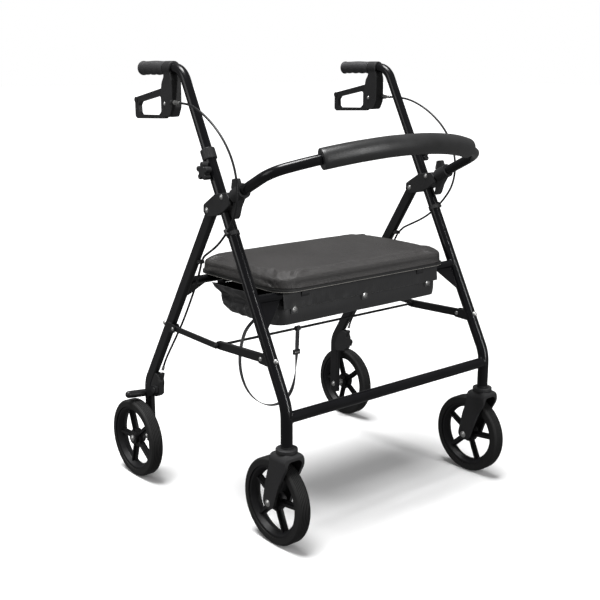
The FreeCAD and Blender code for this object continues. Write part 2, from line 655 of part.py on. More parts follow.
# ---- side braces ----
def link(start, end, half, x0, x1):
    axis = Vec(0, end[0] - start[0], end[1] - start[1])
    across = Vec(0, -axis.z, axis.y)
    across.normalize()
    a, b = Vec(0, *start), Vec(0, *end)
    wire = Part.makePolygon([a + across * half, b + across * half, b - across * half,
                             a - across * half, a + across * half])
    bar = plate(Part.Face(wire), x0, x1)
    ends = [pin_x(start[0], start[1], x0, x1, half), pin_x(end[0], end[1], x0, x1, half)]
    bar = fuse([bar] + ends)
    return bar.makeFillet(1.2, [e for e in bar.Edges if e.BoundBox.XLength < 0.01])


def front_link():
    bar = link(LINK_FRONT, KNEE, 9.0, HALF_TRACK - 9, HALF_TRACK + 1)
    return bar.cut(pin_x(LINK_FRONT[0], LINK_FRONT[1], 200, 400, 3.0 + FIT))


def rear_link():
    bar = link(LINK_REAR, KNEE, 6.5, HALF_TRACK + 2.5, HALF_TRACK + 8.5)
    bar = bar.cut(pin_x(LINK_REAR[0], LINK_REAR[1], 200, 400, 3.0 + FIT))
    head = dome_bolt(KNEE[0], KNEE[1], HALF_TRACK + 7, HALF_TRACK + 8.5, 2.0, 5.0)
    keep = pin_x(KNEE[0], KNEE[1], HALF_TRACK + 5, HALF_TRACK + 20, 8)
    return fuse([bar, head.common(keep)])


def knee_rod():
    y, z = KNEE
    x = HALF_TRACK - 9
    ends = both(pin_x(y, z, x - 6, x, 6.0))
    return fuse([pin_x(y, z, -x, x, ROD_R)] + ends)


# ---- seat ----
def seat_slab(inset, z0, z1, tuck=0):
    """Slab of the seat; its sides lean in by tuck towards the bottom."""
    rings = []
    for z, step in ((z0, inset + tuck), (z1, inset)):
        half = SEAT_HALF_W - step
        front, back = SEAT_Y[0] + step, SEAT_Y[1] - step
        corners = [Vec(-half, front, z), Vec(half, front, z), Vec(half, back, z),
                   Vec(-half, back, z)]
        rings.append(rounded_wire(corners, 58 - step, closed=True))
    return Part.makeLoft(rings, True, True)


def seat_cushion():
    slab = seat_slab(0, SEAT_BOARD_Z + 6, SEAT_TOP_Z, SEAT_TUCK)
    return slab.makeFillet(12, [e for e in slab.Edges if e.BoundBox.ZMin > SEAT_TOP_Z - 0.1])


def seat_clip():
    """Plastic clip under the board that hooks round the front seat bar."""
    y, z = leg_y(SEAT_BAR_Z), SEAT_BAR_Z
    ring = pin_x(y, z, 165, 187, 13.0)
    foot = Part.makeBox(22, 40, 9, Vec(165, y - 14, SEAT_BOARD_Z - 9))
    clip = ring.fuse(foot).cut(pin_x(y, z, 160, 190, SEAT_BAR_R + 0.3))
    below = Part.makeBox(40, 80, SEAT_BOARD_Z, Vec(160, y - 40, 0))
    return clip.common(below).removeSplitter()


# ---- cables ----
LOOP_ROUTE = [(315.4, 72, 903), (320, 35, 902.5), (323.6, 4, 898.5), (325.6, -33, 886),
              (326.6, -73, 865), (327, -111, 835), (327, -140, 797), (326.6, -154, 754),
              (325.6, -152, 709), (323.6, -134, 672), (321.8, -109, 646)]
FOLD_ROUTE = [(321.6, -106.9, 643.9), (320.5, -87, 625), (317, -57, 605), (312, -23, 588),
              (307, 3, 575), (304, 14.5, 558)]
LEG_ROUTE = [(303.7, 15.6, 556), (302, 25, 537), (300.5, 46.5, 498), (299.5, 76, 450),
             (299, 106, 403), (299, 138, 359), (299.5, 167, 320), (301, 185, 291),
             (302, 192, 272)]


def route(points):
    return [Vec(*point) for point in points]


def cable_route(points, radius=CABLE_R):
    return cord(route(points), radius)


def main():
    for side, sign in SIDES.items():
        save("front_leg_" + side, to_side(front_leg(), sign))
        save("handle_tube_" + side, to_side(handle_tube(), sign))
        save("hand_grip_" + side, to_side(hand_grip(), sign))
        save("brake_housing_" + side, to_side(brake_housing(), sign))
        save("brake_hardware_" + side, [to_side(s, sign) for s in brake_hardware()])
        save("brake_lever_" + side, to_side(brake_lever(), sign))
        save("height_knob_" + side, to_side(height_knob(), sign))
        save("caster_fork_" + side, to_side(caster_fork(), sign))
        save("caster_hardware_" + side, [to_side(s, sign) for s in caster_hardware()])
        save("caster_rim_" + side, to_side(wheel_rim(HALF_TRACK, CASTER_Y, 15, 12), sign))
        save("caster_tyre_" + side, to_side(wheel_tyre(HALF_TRACK, CASTER_Y, TYRE_W / 2), sign))
        save("caster_bush_" + side, to_side(wheel_bush(HALF_TRACK, CASTER_Y, 17.5), sign))
        save("rear_leg_" + side, to_side(rear_leg(), sign))
        save("rear_rim_" + side, to_side(wheel_rim(REAR_WHEEL_X, REAR_AXLE_Y, 14, -20), sign))
        save("rear_tyre_" + side, to_side(wheel_tyre(REAR_WHEEL_X, REAR_AXLE_Y, TYRE_W / 2), sign))
        save("rear_bush_" + side, to_side(wheel_bush(REAR_WHEEL_X, REAR_AXLE_Y, 15.5), sign))
        save("brake_arm_" + side, to_side(brake_arm(), sign))
    save("lower_crossbar", lower_crossbar())
    save("seat_front_crossbar", seat_front_crossbar())
    save("hinge_brackets", both(hinge_bracket()))
    save("height_collars", both(height_collar()))
    save("backrest_tube", backrest_tube())
    save("backrest_pad", backrest_pad())
    save("backrest_sockets", both(backrest_socket()))
    save("front_link_clevises", both(front_clevis()))
    save("stem_bearings", both(stem_bearing()))
    save("front_frame_bolts", front_frame_bolts())
    save("storage_bag", storage_bag())
    save("fold_strap", fold_strap())
    save("strap_slide", strap_slide())
    save("seat_rear_crossbar", seat_rear_crossbar())
    save("rear_link_clevises", both(rear_clevis()))
    save("rear_bolts", both(rear_axle()) + rear_frame_bolts())
    save("rear_cable_clips", both(rear_cable_clip()))
    save("front_cable_clips", both(front_cable_clip()))
    save("brake_mounts", both(brake_mount()))
    save("front_links_and_rod", both(front_link()) + [knee_rod()])
    save("rear_links", both(rear_link()))
    save("seat_cushion", seat_cushion())
    save("seat_board", seat_slab(SEAT_TUCK + 3, SEAT_BOARD_Z, SEAT_BOARD_Z + 6))
    save("seat_hinge_clips", both(seat_clip()))
    save("brake_cables", both(cable_route(LOOP_ROUTE)) + both(cable_route(FOLD_ROUTE)))
    save("leg_cables", both(cable_route(LEG_ROUTE)))


main()
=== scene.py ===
import math

import bmesh
import bpy
from mathutils import Matrix, Vector, noise
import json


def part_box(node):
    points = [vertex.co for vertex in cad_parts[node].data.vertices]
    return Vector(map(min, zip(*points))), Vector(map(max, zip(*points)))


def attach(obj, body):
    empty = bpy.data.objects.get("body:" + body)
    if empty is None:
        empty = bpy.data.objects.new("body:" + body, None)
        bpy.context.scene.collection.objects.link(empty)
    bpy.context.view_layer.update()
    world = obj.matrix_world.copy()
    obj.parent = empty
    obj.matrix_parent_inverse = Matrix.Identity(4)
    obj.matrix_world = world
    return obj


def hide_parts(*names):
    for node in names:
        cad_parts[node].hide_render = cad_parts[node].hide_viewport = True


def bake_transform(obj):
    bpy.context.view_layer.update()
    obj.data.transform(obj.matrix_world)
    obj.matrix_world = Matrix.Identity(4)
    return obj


# The folding walker as packed. Its nodes keep their shapes and get their
# finishes below; soft parts, grips and small fittings are made here.
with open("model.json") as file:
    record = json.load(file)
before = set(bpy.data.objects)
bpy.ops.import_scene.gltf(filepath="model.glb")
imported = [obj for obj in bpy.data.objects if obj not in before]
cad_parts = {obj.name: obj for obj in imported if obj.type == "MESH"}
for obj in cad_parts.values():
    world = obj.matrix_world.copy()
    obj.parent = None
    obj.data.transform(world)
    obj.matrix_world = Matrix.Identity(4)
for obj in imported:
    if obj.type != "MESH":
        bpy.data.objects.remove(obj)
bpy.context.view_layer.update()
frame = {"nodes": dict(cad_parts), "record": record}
nodes = frame["nodes"]
slot_of = {part["node"]: part["material_slot"] for part in frame["record"]["subparts"]}
SIDES = {"left": 1, "right": -1}
bpy.ops.object.select_all(action="DESELECT")

# Camera, in front of the walker and to its right, level with the hand grips
# and looking slightly down at the seat.
camera = bpy.data.objects.new("camera", bpy.data.cameras.new("camera"))
bpy.context.scene.collection.objects.link(camera)
camera.location = (-1.48947, -1.74361, 0.98247)
camera.rotation_euler = (math.radians(90 - 13.4725), 0, math.radians(-39.846))
camera.data.sensor_width = 36
camera.data.lens = 58.925
bpy.context.scene.camera = camera
bpy.context.scene.view_settings.view_transform = "Standard"


def new_material(name):
    """Material with its shader, and what adds and links its nodes."""
    material = bpy.data.materials.new(name)
    material.use_nodes = True
    tree = material.node_tree
    return material, tree.nodes["Principled BSDF"], tree.nodes, tree.links


def mesh_piece(name, shape):
    """Object made from a bmesh, selected and active."""
    mesh = bpy.data.meshes.new(name)
    shape.to_mesh(mesh)
    shape.free()
    piece = bpy.data.objects.new(name, mesh)
    bpy.context.scene.collection.objects.link(piece)
    bpy.ops.object.select_all(action="DESELECT")
    piece.select_set(True)
    bpy.context.view_layer.objects.active = piece
    return piece


def thicken(piece, thick, offset):
    """Give a sheet its thickness."""
    wall = piece.modifiers.new("thickness", "SOLIDIFY")
    wall.thickness, wall.offset = thick, offset
    bpy.ops.object.modifier_apply(modifier="thickness")


def soften(piece):
    """Round off a piece's facets by one level."""
    softer = piece.modifiers.new("soft", "SUBSURF")
    softer.levels = softer.render_levels = 1
    bpy.ops.object.modifier_apply(modifier="soft")


def finish(piece, material):
    """Put on a material."""
    piece.data.materials.append(material)


# Fold strap: a slack loop of 12 mm black polyester webbing, sewn to the floor
# of the bag and looped round the knee rod. The user pulls it up to fold the
# walker. It hangs on its flat side and turns a quarter before the rod.
def woven_cloth(name, colour, lit, threads, direction, roughness, depth):
    """Plain weave of round yarns, their tops painted lighter in the lit colour as a painted
    highlight; threads is their number in a metre.
    """
    material, shader, nodes, links = new_material(name)
    shader.location = (900, 0)
    shader.inputs["Sheen Weight"].default_value = 0.25
    shader.inputs["Sheen Roughness"].default_value = 0.6
    shader.inputs["Specular IOR Level"].default_value = 0.35
    place = nodes.new("ShaderNodeTexCoord")
    place.label = "where on the cloth"
    lay = nodes.new("ShaderNodeMapping")
    lay.label = "direction of the yarns"
    lay.inputs["Rotation"].default_value = direction
    warp = nodes.new("ShaderNodeTexWave")
    warp.label = "warp yarns"
    weft = nodes.new("ShaderNodeTexWave")
    weft.label = "weft yarns"
    warp.bands_direction, weft.bands_direction = "X", "Y"
    for yarn in (warp, weft):
        yarn.inputs["Scale"].default_value = threads / 20
        yarn.inputs["Distortion"].default_value = 0.4
        yarn.inputs["Detail"].default_value = 0
    cross = nodes.new("ShaderNodeMath")
    cross.label = "yarn on top"
    cross.operation = "MAXIMUM"
    fade = nodes.new("ShaderNodeTexNoise")
    fade.label = "uneven dye, rubbed places and strength of the painted highlight"
    fade.inputs["Scale"].default_value = 14
    fade.inputs["Detail"].default_value = 4
    # The yarn tops are painted lighter, towards the lit colour: a painted highlight whose strength
    # the noise above varies.
    shade = nodes.new("ShaderNodeMix")
    shade.label = "yarn colour and painted highlight on the yarn tops"
    shade.data_type = "RGBA"
    shade.inputs["A"].default_value = (*colour, 1)
    shade.inputs["B"].default_value = (*lit, 1)
    amount = nodes.new("ShaderNodeMath")
    amount.label = "light on the yarn tops"
    amount.operation = "MULTIPLY"
    dull = nodes.new("ShaderNodeMapRange")
    dull.label = "roughness of the cloth"
    dull.inputs["To Min"].default_value = roughness - 0.08
    dull.inputs["To Max"].default_value = roughness + 0.08
    raised = nodes.new("ShaderNodeBump")
    raised.label = "height of the yarns"
    raised.inputs["Strength"].default_value = 0.5
    raised.inputs["Distance"].default_value = depth
    column = 0
    for effect, members in {
        "weave": (place, lay, warp, weft, cross, raised),
        "colour": (fade, shade, amount),
        "gloss": (dull,),
    }.items():
        group = nodes.new("NodeFrame")
        group.label = effect
        for member in members:
            column += 1
            member.parent, member.location = group, (180 * column - 1900, 0)
    links.new(place.outputs["Object"], lay.inputs["Vector"])
    links.new(lay.outputs["Vector"], warp.inputs["Vector"])
    links.new(lay.outputs["Vector"], weft.inputs["Vector"])
    links.new(place.outputs["Object"], fade.inputs["Vector"])
    links.new(warp.outputs["Fac"], cross.inputs[0])
    links.new(weft.outputs["Fac"], cross.inputs[1])
    links.new(cross.outputs["Value"], amount.inputs[0])
    links.new(fade.outputs["Fac"], amount.inputs[1])
    links.new(amount.outputs["Value"], shade.inputs["Factor"])
    links.new(shade.outputs["Result"], shader.inputs["Base Color"])
    links.new(fade.outputs["Fac"], dull.inputs["Value"])
    links.new(dull.outputs["Result"], shader.inputs["Roughness"])
    links.new(cross.outputs["Value"], raised.inputs["Height"])
    links.new(raised.outputs["Normal"], shader.inputs["Normal"])
    return material


def smooth_route(name, points):
    """Points of the smooth curve that a cord follows between its ends."""
    curve = bpy.data.curves.new(name, "CURVE")
    curve.dimensions = "3D"
    curve.resolution_u = 10
    spline = curve.splines.new("NURBS")
    spline.points.add(len(points) - 1)
    for control, point in zip(spline.points, points):
        control.co = (*point, 1)
    spline.order_u = 3
    spline.use_endpoint_u = True
    holder = bpy.data.objects.new(name, curve)
    bpy.context.scene.collection.objects.link(holder)
    bpy.context.view_layer.update()
    line = [v.co.copy() for v in bpy.data.meshes.new_from_object(holder).vertices]
    bpy.data.objects.remove(holder)
    return line


def swept_section(name, line, section, across):
    """Closed tube: section points (across, up) carried along a line; across
    gives the direction of the section's width at a share of the length."""
    total = sum((b - a).length for a, b in zip(line, line[1:]))
    shape, rings, run = bmesh.new(), [], 0.0
    for i, point in enumerate(line):
        if i:
            run += (point - line[i - 1]).length
        ahead = line[min(i + 1, len(line) - 1)] - line[max(i - 1, 0)]
        ahead.normalize()
        wide = across(run / total)
        wide = (wide - ahead * wide.dot(ahead)).normalized()
        up = ahead.cross(wide)
        rings.append([shape.verts.new(point + wide * a + up * b) for a, b in section])
    for low, high in zip(rings, rings[1:]):
        for i in range(len(section)):
            j = (i + 1) % len(section)
            shape.faces.new((low[i], low[j], high[j], high[i]))
    shape.faces.new(rings[0][::-1])
    shape.faces.new(rings[-1])
    bmesh.ops.recalc_face_normals(shape, faces=shape.faces)
    piece = mesh_piece(name, shape)
    bpy.ops.object.shade_smooth()
    return piece


webbing = woven_cloth("webbing", (0.018, 0.018, 0.02), (0.055, 0.055, 0.058), 1100,
                      (0, 0, 0), 0.62, 0.0004)
STRAP_WIDTH, STRAP_THICK = 0.012, 0.0016
strap_points = [(-0.206, -0.062, 0.439), (-0.238, -0.063, 0.424), (-0.256, -0.063, 0.386),
                (-0.259, -0.059, 0.336), (-0.244, -0.055, 0.286), (-0.217, -0.052, 0.247),
                (-0.180, -0.050, 0.221), (-0.141, -0.048, 0.213), (-0.107, -0.047, 0.226),
                (-0.090, -0.047, 0.259), (-0.0845, -0.047, 0.312), (-0.082, -0.047, 0.352),
                (-0.081, -0.047, 0.382)]
strap_line = smooth_route("strap_route", strap_points)
strap_section = [(x * STRAP_WIDTH / 2, y * STRAP_THICK / 2) for x, y in (
    (-1, -0.4), (-0.93, -1), (-0.5, -1.15), (0, -1), (0.5, -1.15), (0.93, -1), (1, -0.4),
    (1, 0.4), (0.93, 1), (0.5, 1.15), (0, 1), (-0.5, 1.15), (-0.93, 1), (-1, 0.4))]
QUARTER_TURN_FROM, QUARTER_TURN_TO = 0.72, 0.93


def strap_width_direction(share):
    turn = (share - QUARTER_TURN_FROM) / (QUARTER_TURN_TO - QUARTER_TURN_FROM)
    angle = math.radians(84) * (1 - min(max(turn, 0), 1))
    return Vector((math.cos(angle), math.sin(angle), 0))


strap = swept_section("fold_strap_webbing", strap_line, strap_section, strap_width_direction)
finish(strap, webbing)
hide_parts("fold_strap")
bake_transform(strap)

# The strap's slide: a black moulded buckle with two slots that the webbing is
# threaded through, so that its loop round the rod can be let out. Its steel
# cross bar shows between the slots.
def moulded(name, colour, roughness, grain, depth, gloss=0.5):
    """Moulded nylon or rubber with a spark-eroded grain, in grains a metre."""
    material, shader, nodes, links = new_material(name)
    shader.location = (800, 0)
    shader.inputs["Specular IOR Level"].default_value = gloss
    place = nodes.new("ShaderNodeTexCoord")
    place.label, place.location = "where on the moulding", (-2000, 0)
    grains = nodes.new("ShaderNodeTexVoronoi")
    grains.label = "eroded grain"
    grains.inputs["Scale"].default_value = grain
    pits = nodes.new("ShaderNodeTexNoise")
    pits.label = "fine pits"
    pits.inputs["Scale"].default_value = grain * 2.3
    pits.inputs["Detail"].default_value = 3
    patch = nodes.new("ShaderNodeTexNoise")
    patch.label = "handled and dusty patches"
    patch.inputs["Scale"].default_value = 22
    patch.inputs["Detail"].default_value = 5
    shade = nodes.new("ShaderNodeMix")
    shade.label = "colour of the moulding"
    shade.data_type = "RGBA"
    shade.inputs["A"].default_value = (*(0.8 * c for c in colour), 1)
    shade.inputs["B"].default_value = (*(1.35 * c for c in colour), 1)
    dull = nodes.new("ShaderNodeMapRange")
    dull.label = "roughness"
    dull.inputs["From Min"].default_value = 0.3
    dull.inputs["From Max"].default_value = 0.7
    dull.inputs["To Min"].default_value = roughness - 0.07
    dull.inputs["To Max"].default_value = roughness + 0.07
    texture = nodes.new("ShaderNodeMath")
    texture.label = "grain and pits together"
    texture.operation = "MULTIPLY_ADD"
    texture.inputs[1].default_value = 0.5
    raised = nodes.new("ShaderNodeBump")
    raised.label = "height of the grain"
    raised.inputs["Strength"].default_value = 0.6
    raised.inputs["Distance"].default_value = depth
    column = 0
    for effect, members in {
        "grain": (grains, pits, texture, raised),
        "colour": (patch, shade),
        "gloss": (dull,),
    }.items():
        group = nodes.new("NodeFrame")
        group.label = effect
        for member in members:
            column += 1
            member.parent, member.location = group, (180 * column - 1900, 0)
    for texture_node in (grains, pits, patch):
        links.new(place.outputs["Object"], texture_node.inputs["Vector"])
    links.new(patch.outputs["Fac"], shade.inputs["Factor"])
    links.new(shade.outputs["Result"], shader.inputs["Base Color"])
    links.new(patch.outputs["Fac"], dull.inputs["Value"])
    links.new(dull.outputs["Result"], shader.inputs["Roughness"])
    links.new(pits.outputs["Fac"], texture.inputs[0])
    links.new(grains.outputs["Distance"], texture.inputs[2])
    links.new(texture.outputs["Value"], raised.inputs["Height"])
    links.new(raised.outputs["Normal"], shader.inputs["Normal"])
    return material


def plated(name, colour, roughness):
    """Bright zinc plate with a faint drawn grain and dulled spots."""
    material, shader, nodes, links = new_material(name)
    shader.location = (700, 0)
    shader.inputs["Metallic"].default_value = 1.0
    place = nodes.new("ShaderNodeTexCoord")
    place.label, place.location = "where on the metal", (-2000, 0)
    stretch = nodes.new("ShaderNodeMapping")
    stretch.label = "lines run round the part"
    stretch.inputs["Scale"].default_value = (60, 900, 900)
    drawn = nodes.new("ShaderNodeTexNoise")
    drawn.label = "drawn grain"
    drawn.inputs["Scale"].default_value = 1.0
    bloom = nodes.new("ShaderNodeTexNoise")
    bloom.label = "dulled spots"
    bloom.inputs["Scale"].default_value = 180
    bloom.inputs["Detail"].default_value = 4
    tint = nodes.new("ShaderNodeMix")
    tint.label = "plate colour"
    tint.data_type = "RGBA"
    tint.inputs["A"].default_value = (*colour, 1)
    tint.inputs["B"].default_value = (*(0.7 * c for c in colour), 1)
    dull = nodes.new("ShaderNodeMapRange")
    dull.label = "roughness"
    dull.inputs["To Min"].default_value = roughness - 0.06
    dull.inputs["To Max"].default_value = roughness + 0.16
    raised = nodes.new("ShaderNodeBump")
    raised.label = "depth of the grain"
    raised.inputs["Strength"].default_value = 0.25
    raised.inputs["Distance"].default_value = 0.0001
    column = 0
    for effect, members in {
        "grain": (stretch, drawn, raised),
        "colour": (bloom, tint),
        "gloss": (dull,),
    }.items():
        group = nodes.new("NodeFrame")
        group.label = effect
        for member in members:
            column += 1
            member.parent, member.location = group, (180 * column - 1900, 0)
    links.new(place.outputs["Object"], stretch.inputs["Vector"])
    links.new(stretch.outputs["Vector"], drawn.inputs["Vector"])
    links.new(place.outputs["Object"], bloom.inputs["Vector"])
    links.new(bloom.outputs["Fac"], tint.inputs["Factor"])
    links.new(tint.outputs["Result"], shader.inputs["Base Color"])
    links.new(bloom.outputs["Fac"], dull.inputs["Value"])
    links.new(dull.outputs["Result"], shader.inputs["Roughness"])
    links.new(drawn.outputs["Fac"], raised.inputs["Height"])
    links.new(raised.outputs["Normal"], shader.inputs["Normal"])
    return material


moulding = moulded("moulding", (0.020, 0.020, 0.021), 0.50, 1400, 0.00025, gloss=0.4)
zinc = plated("zinc", (0.66, 0.66, 0.65), 0.3)


def box_piece(name, low, high, round_over):
    """Rounded block between two corners, as the start of a small moulding."""
    bpy.ops.object.select_all(action="DESELECT")
    middle, size = (Vector(low) + Vector(high)) / 2, Vector(high) - Vector(low)
    bpy.ops.mesh.primitive_cube_add(size=1, location=middle, scale=size)
    piece = bpy.context.object
    piece.name = name
    bpy.ops.object.transform_apply(location=True, rotation=True, scale=True)
    bpy.ops.object.mode_set(mode="EDIT")
    bpy.ops.mesh.select_all(action="SELECT")
    bpy.ops.mesh.bevel(offset=round_over, segments=3, affect="EDGES")
    bpy.ops.object.mode_set(mode="OBJECT")
    bpy.ops.object.shade_smooth_by_angle(angle=math.radians(40))
    return piece


buckle_at = Vector((-0.0844, -0.047, 0.3305))
buckle = box_piece("strap_slide_buckle", buckle_at - Vector((0.0095, 0.0032, 0.006)),
                   buckle_at + Vector((0.0095, 0.0032, 0.006)), 0.0012)
bpy.ops.object.mode_set(mode="EDIT")
shape = bmesh.from_edit_mesh(buckle.data)
bpy.ops.mesh.select_all(action="DESELECT")
for face in shape.faces:
    face.select = abs(face.normal.y) > 0.99
bmesh.update_edit_mesh(buckle.data)
bpy.ops.mesh.inset(thickness=0.0018, use_individual=True)
bpy.ops.transform.resize(value=(1, 0.55, 1), center_override=tuple(buckle_at))
bpy.ops.object.mode_set(mode="OBJECT")
buckle_bar = box_piece("strap_slide_bar", buckle_at - Vector((0.0075, 0.0036, 0.0013)),
                       buckle_at + Vector((0.0075, 0.0036, 0.0013)), 0.0006)
finish(buckle, moulding)
finish(buckle_bar, zinc)
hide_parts("strap_slide")
for piece in (buckle, buckle_bar):
    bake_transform(piece)

# The doubled end of the strap goes round the knee rod and is sewn to itself
# above the slide, so a small loop of the same webbing turns with the rod.
rod_loop_line = [Vector((-0.081, -0.047 + 0.0052 * math.sin(a), 0.387 + 0.0052 * math.cos(a)))
                 for a in (math.radians(15 * i) for i in range(25))]
rod_loop = swept_section("fold_strap_rod_loop", rod_loop_line,
                         strap_section, lambda share: Vector((1, 0, 0)))
finish(rod_loop, webbing)
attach(rod_loop, "front_brace")


# Brake cables: 5 mm black sheathed cable. Each leaves the adjuster under the
# grip forwards, bows round outside the frame to a clip on the front leg, runs
# on to a clip on the rear leg and down it to the brake. A plated ferrule caps
# each end.
def turned(name, rings, base, along, segments=28, smooth=35):
    """Round part built ring by ring; rings are (distance along, radius)."""
    bpy.ops.object.select_all(action="DESELECT")
    bpy.ops.mesh.primitive_circle_add(vertices=segments, radius=rings[0][1], fill_type="NGON",
                                      location=(0, 0, rings[0][0]))
    piece = bpy.context.object
    piece.name = name
    bpy.ops.object.mode_set(mode="EDIT")
    for (here, wide), (there, next_wide) in zip(rings, rings[1:]):
        bpy.ops.mesh.extrude_region_move(TRANSFORM_OT_translate={"value": (0, 0, there - here)})
        bpy.ops.transform.resize(value=(next_wide / wide, next_wide / wide, 1),
                                 center_override=(0, 0, there))
    bpy.ops.mesh.select_all(action="SELECT")
    bpy.ops.mesh.normals_make_consistent(inside=False)
    bpy.ops.object.mode_set(mode="OBJECT")
    turn = Vector((0, 0, 1)).rotation_difference(Vector(along)).to_matrix().to_4x4()
    piece.matrix_world = Matrix.Translation(base) @ turn @ piece.matrix_world
    bpy.ops.object.transform_apply(location=True, rotation=True, scale=True)
    bpy.ops.object.shade_smooth_by_angle(angle=math.radians(smooth))
    return piece


cable_sheath = moulded("cable_sheath", (0.012, 0.012, 0.013), 0.36, 900, 0.00008, gloss=0.4)
CABLE_RADIUS = 0.0025
FERRULE = ((0, 0.0031), (0.0004, 0.0035), (0.0085, 0.0035), (0.009, 0.0029), (0.0098, 0.0027))
cable_runs = {
    "loop": [(0.3154, 0.072, 0.903), (0.320, 0.035, 0.9025), (0.3236, 0.004, 0.8985),
             (0.3256, -0.033, 0.886), (0.3266, -0.073, 0.865), (0.327, -0.111, 0.835),
             (0.327, -0.140, 0.797), (0.3266, -0.154, 0.754), (0.3256, -0.152, 0.709),
             (0.3236, -0.134, 0.672), (0.3218, -0.109, 0.646)],
    "fold": [(0.3216, -0.1069, 0.6439), (0.3205, -0.087, 0.625), (0.317, -0.057, 0.605),
             (0.312, -0.023, 0.588), (0.307, 0.003, 0.575), (0.304, 0.0145, 0.558)],
    "leg": [(0.3037, 0.0156, 0.556), (0.302, 0.025, 0.537), (0.3005, 0.0465, 0.498),
            (0.2995, 0.076, 0.450), (0.299, 0.106, 0.403), (0.299, 0.138, 0.359),
            (0.2995, 0.167, 0.320), (0.301, 0.185, 0.291), (0.302, 0.192, 0.272)],
}
ring_section = [(CABLE_RADIUS * math.cos(math.radians(a)), CABLE_RADIUS * math.sin(math.radians(a)))
                for a in range(0, 360, 30)]
for side, sign in SIDES.items():
    runs = {}
    for run, points in cable_runs.items():
        route = [(sign * x, y, z) for x, y, z in points]
        line = smooth_route(run, route)
        cable = swept_section(f"brake_cable_{run}_{side}", line, ring_section,
                              lambda share: Vector((1, 0, 0.02)))
        finish(cable, cable_sheath)
        runs[run] = (cable, line)
    loop, fold_run, leg_run = (runs[run][0] for run in ("loop", "fold", "leg"))
    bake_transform(loop)
    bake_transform(fold_run)
    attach(leg_run, "rear_frame")
    if sign > 0:
        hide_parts("brake_cables")
        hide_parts("leg_cables")
    for where, line, body in (("adjuster", runs["loop"][1], f"handle_{side}"),
                              ("brake", runs["leg"][1][::-1], "rear_frame")):
        ferrule = turned(f"cable_ferrule_{where}_{side}", FERRULE, line[0], line[1] - line[0])
        finish(ferrule, zinc)
        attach(ferrule, body)

# Frame tubes: one inch steel tube, bent and welded, under a gloss black powder
# coat whose slight orange peel breaks up the long highlights. The flat-sided
# rear legs and the braces have a satin coat of the same black.
def powder_coat(name, colour, roughness, coat, peel):
    """Baked black coat; peel is the depth of its orange peel in metres."""
    material, shader, nodes, links = new_material(name)
    shader.location = (800, 0)
    shader.inputs["Specular IOR Level"].default_value = 0.3
    shader.inputs["Coat Weight"].default_value = coat
    shader.inputs["Coat Roughness"].default_value = 0.08
    place = nodes.new("ShaderNodeTexCoord")
    place.label, place.location = "where on the tube", (-2000, 0)
    skin = nodes.new("ShaderNodeTexNoise")
    skin.label = "orange peel"
    skin.inputs["Scale"].default_value = 420
    skin.inputs["Detail"].default_value = 1
    wipe = nodes.new("ShaderNodeTexNoise")
    wipe.label = "wiped and handled places"
    wipe.inputs["Scale"].default_value = 9
    wipe.inputs["Detail"].default_value = 6
    wipe.inputs["Roughness"].default_value = 0.65
    speck = nodes.new("ShaderNodeTexVoronoi")
    speck.label = "dust specks"
    speck.inputs["Scale"].default_value = 260
    few = nodes.new("ShaderNodeMapRange")
    few.label = "only the smallest show"
    few.inputs["From Min"].default_value = 0.03
    few.inputs["From Max"].default_value = 0.07
    few.inputs["To Min"].default_value = 0.5
    few.inputs["To Max"].default_value = 0.0
    base = nodes.new("ShaderNodeMix")
    base.label = "shade of the coat"
    base.data_type = "RGBA"
    base.inputs["A"].default_value = (*(0.75 * c for c in colour), 1)
    base.inputs["B"].default_value = (*(1.3 * c for c in colour), 1)
    dust = nodes.new("ShaderNodeMix")
    dust.label = "specks over the coat"
    dust.data_type = "RGBA"
    dust.inputs["B"].default_value = (0.05, 0.049, 0.047, 1)
    dull = nodes.new("ShaderNodeMapRange")
    dull.label = "roughness"
    dull.inputs["From Min"].default_value = 0.3
    dull.inputs["From Max"].default_value = 0.7
    dull.inputs["To Min"].default_value = roughness - 0.05
    dull.inputs["To Max"].default_value = roughness + 0.08
    raised = nodes.new("ShaderNodeBump")
    raised.label = "height of the peel"
    raised.inputs["Strength"].default_value = 0.25
    raised.inputs["Distance"].default_value = peel
    column = 0
    for effect, members in {
        "orange peel": (skin, raised),
        "colour and dust": (speck, few, base, dust),
        "gloss": (wipe, dull),
    }.items():
        group = nodes.new("NodeFrame")
        group.label = effect
        for member in members:
            column += 1
            member.parent, member.location = group, (180 * column - 1900, 0)
    for texture in (skin, wipe, speck):
        links.new(place.outputs["Object"], texture.inputs["Vector"])
    links.new(wipe.outputs["Fac"], base.inputs["Factor"])
    links.new(speck.outputs["Distance"], few.inputs["Value"])
    links.new(few.outputs["Result"], dust.inputs["Factor"])
    links.new(base.outputs["Result"], dust.inputs["A"])
    links.new(dust.outputs["Result"], shader.inputs["Base Color"])
    links.new(wipe.outputs["Fac"], dull.inputs["Value"])
    links.new(dull.outputs["Result"], shader.inputs["Roughness"])
    links.new(skin.outputs["Fac"], raised.inputs["Height"])
    links.new(raised.outputs["Normal"], shader.inputs["Normal"])
    links.new(raised.outputs["Normal"], shader.inputs["Coat Normal"])
    return material


def finish_nodes(slot, material):
    """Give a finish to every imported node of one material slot."""
    for name, its_slot in slot_of.items():
        if its_slot == slot:
            nodes[name].data.materials.clear()
            nodes[name].data.materials.append(material)


frame_paint = powder_coat("frame_paint", (0.005, 0.005, 0.006), 0.20, 0.10, 0.00004)
satin_steel = powder_coat("satin_steel", (0.013, 0.013, 0.014), 0.40, 0.05, 0.00006)
finish_nodes("frame_paint", frame_paint)
finish_nodes("satin_steel", satin_steel)

# Weld beads: the crossbars butt against the legs and are welded all round, and
# the bead's ripples show through the paint. Each bead lies in the corner
# between the bar and the leg's round side.
LEG_RADIUS, HALF_TRACK = 0.0127, 0.306
FRONT_LEAN = math.radians(27.5)


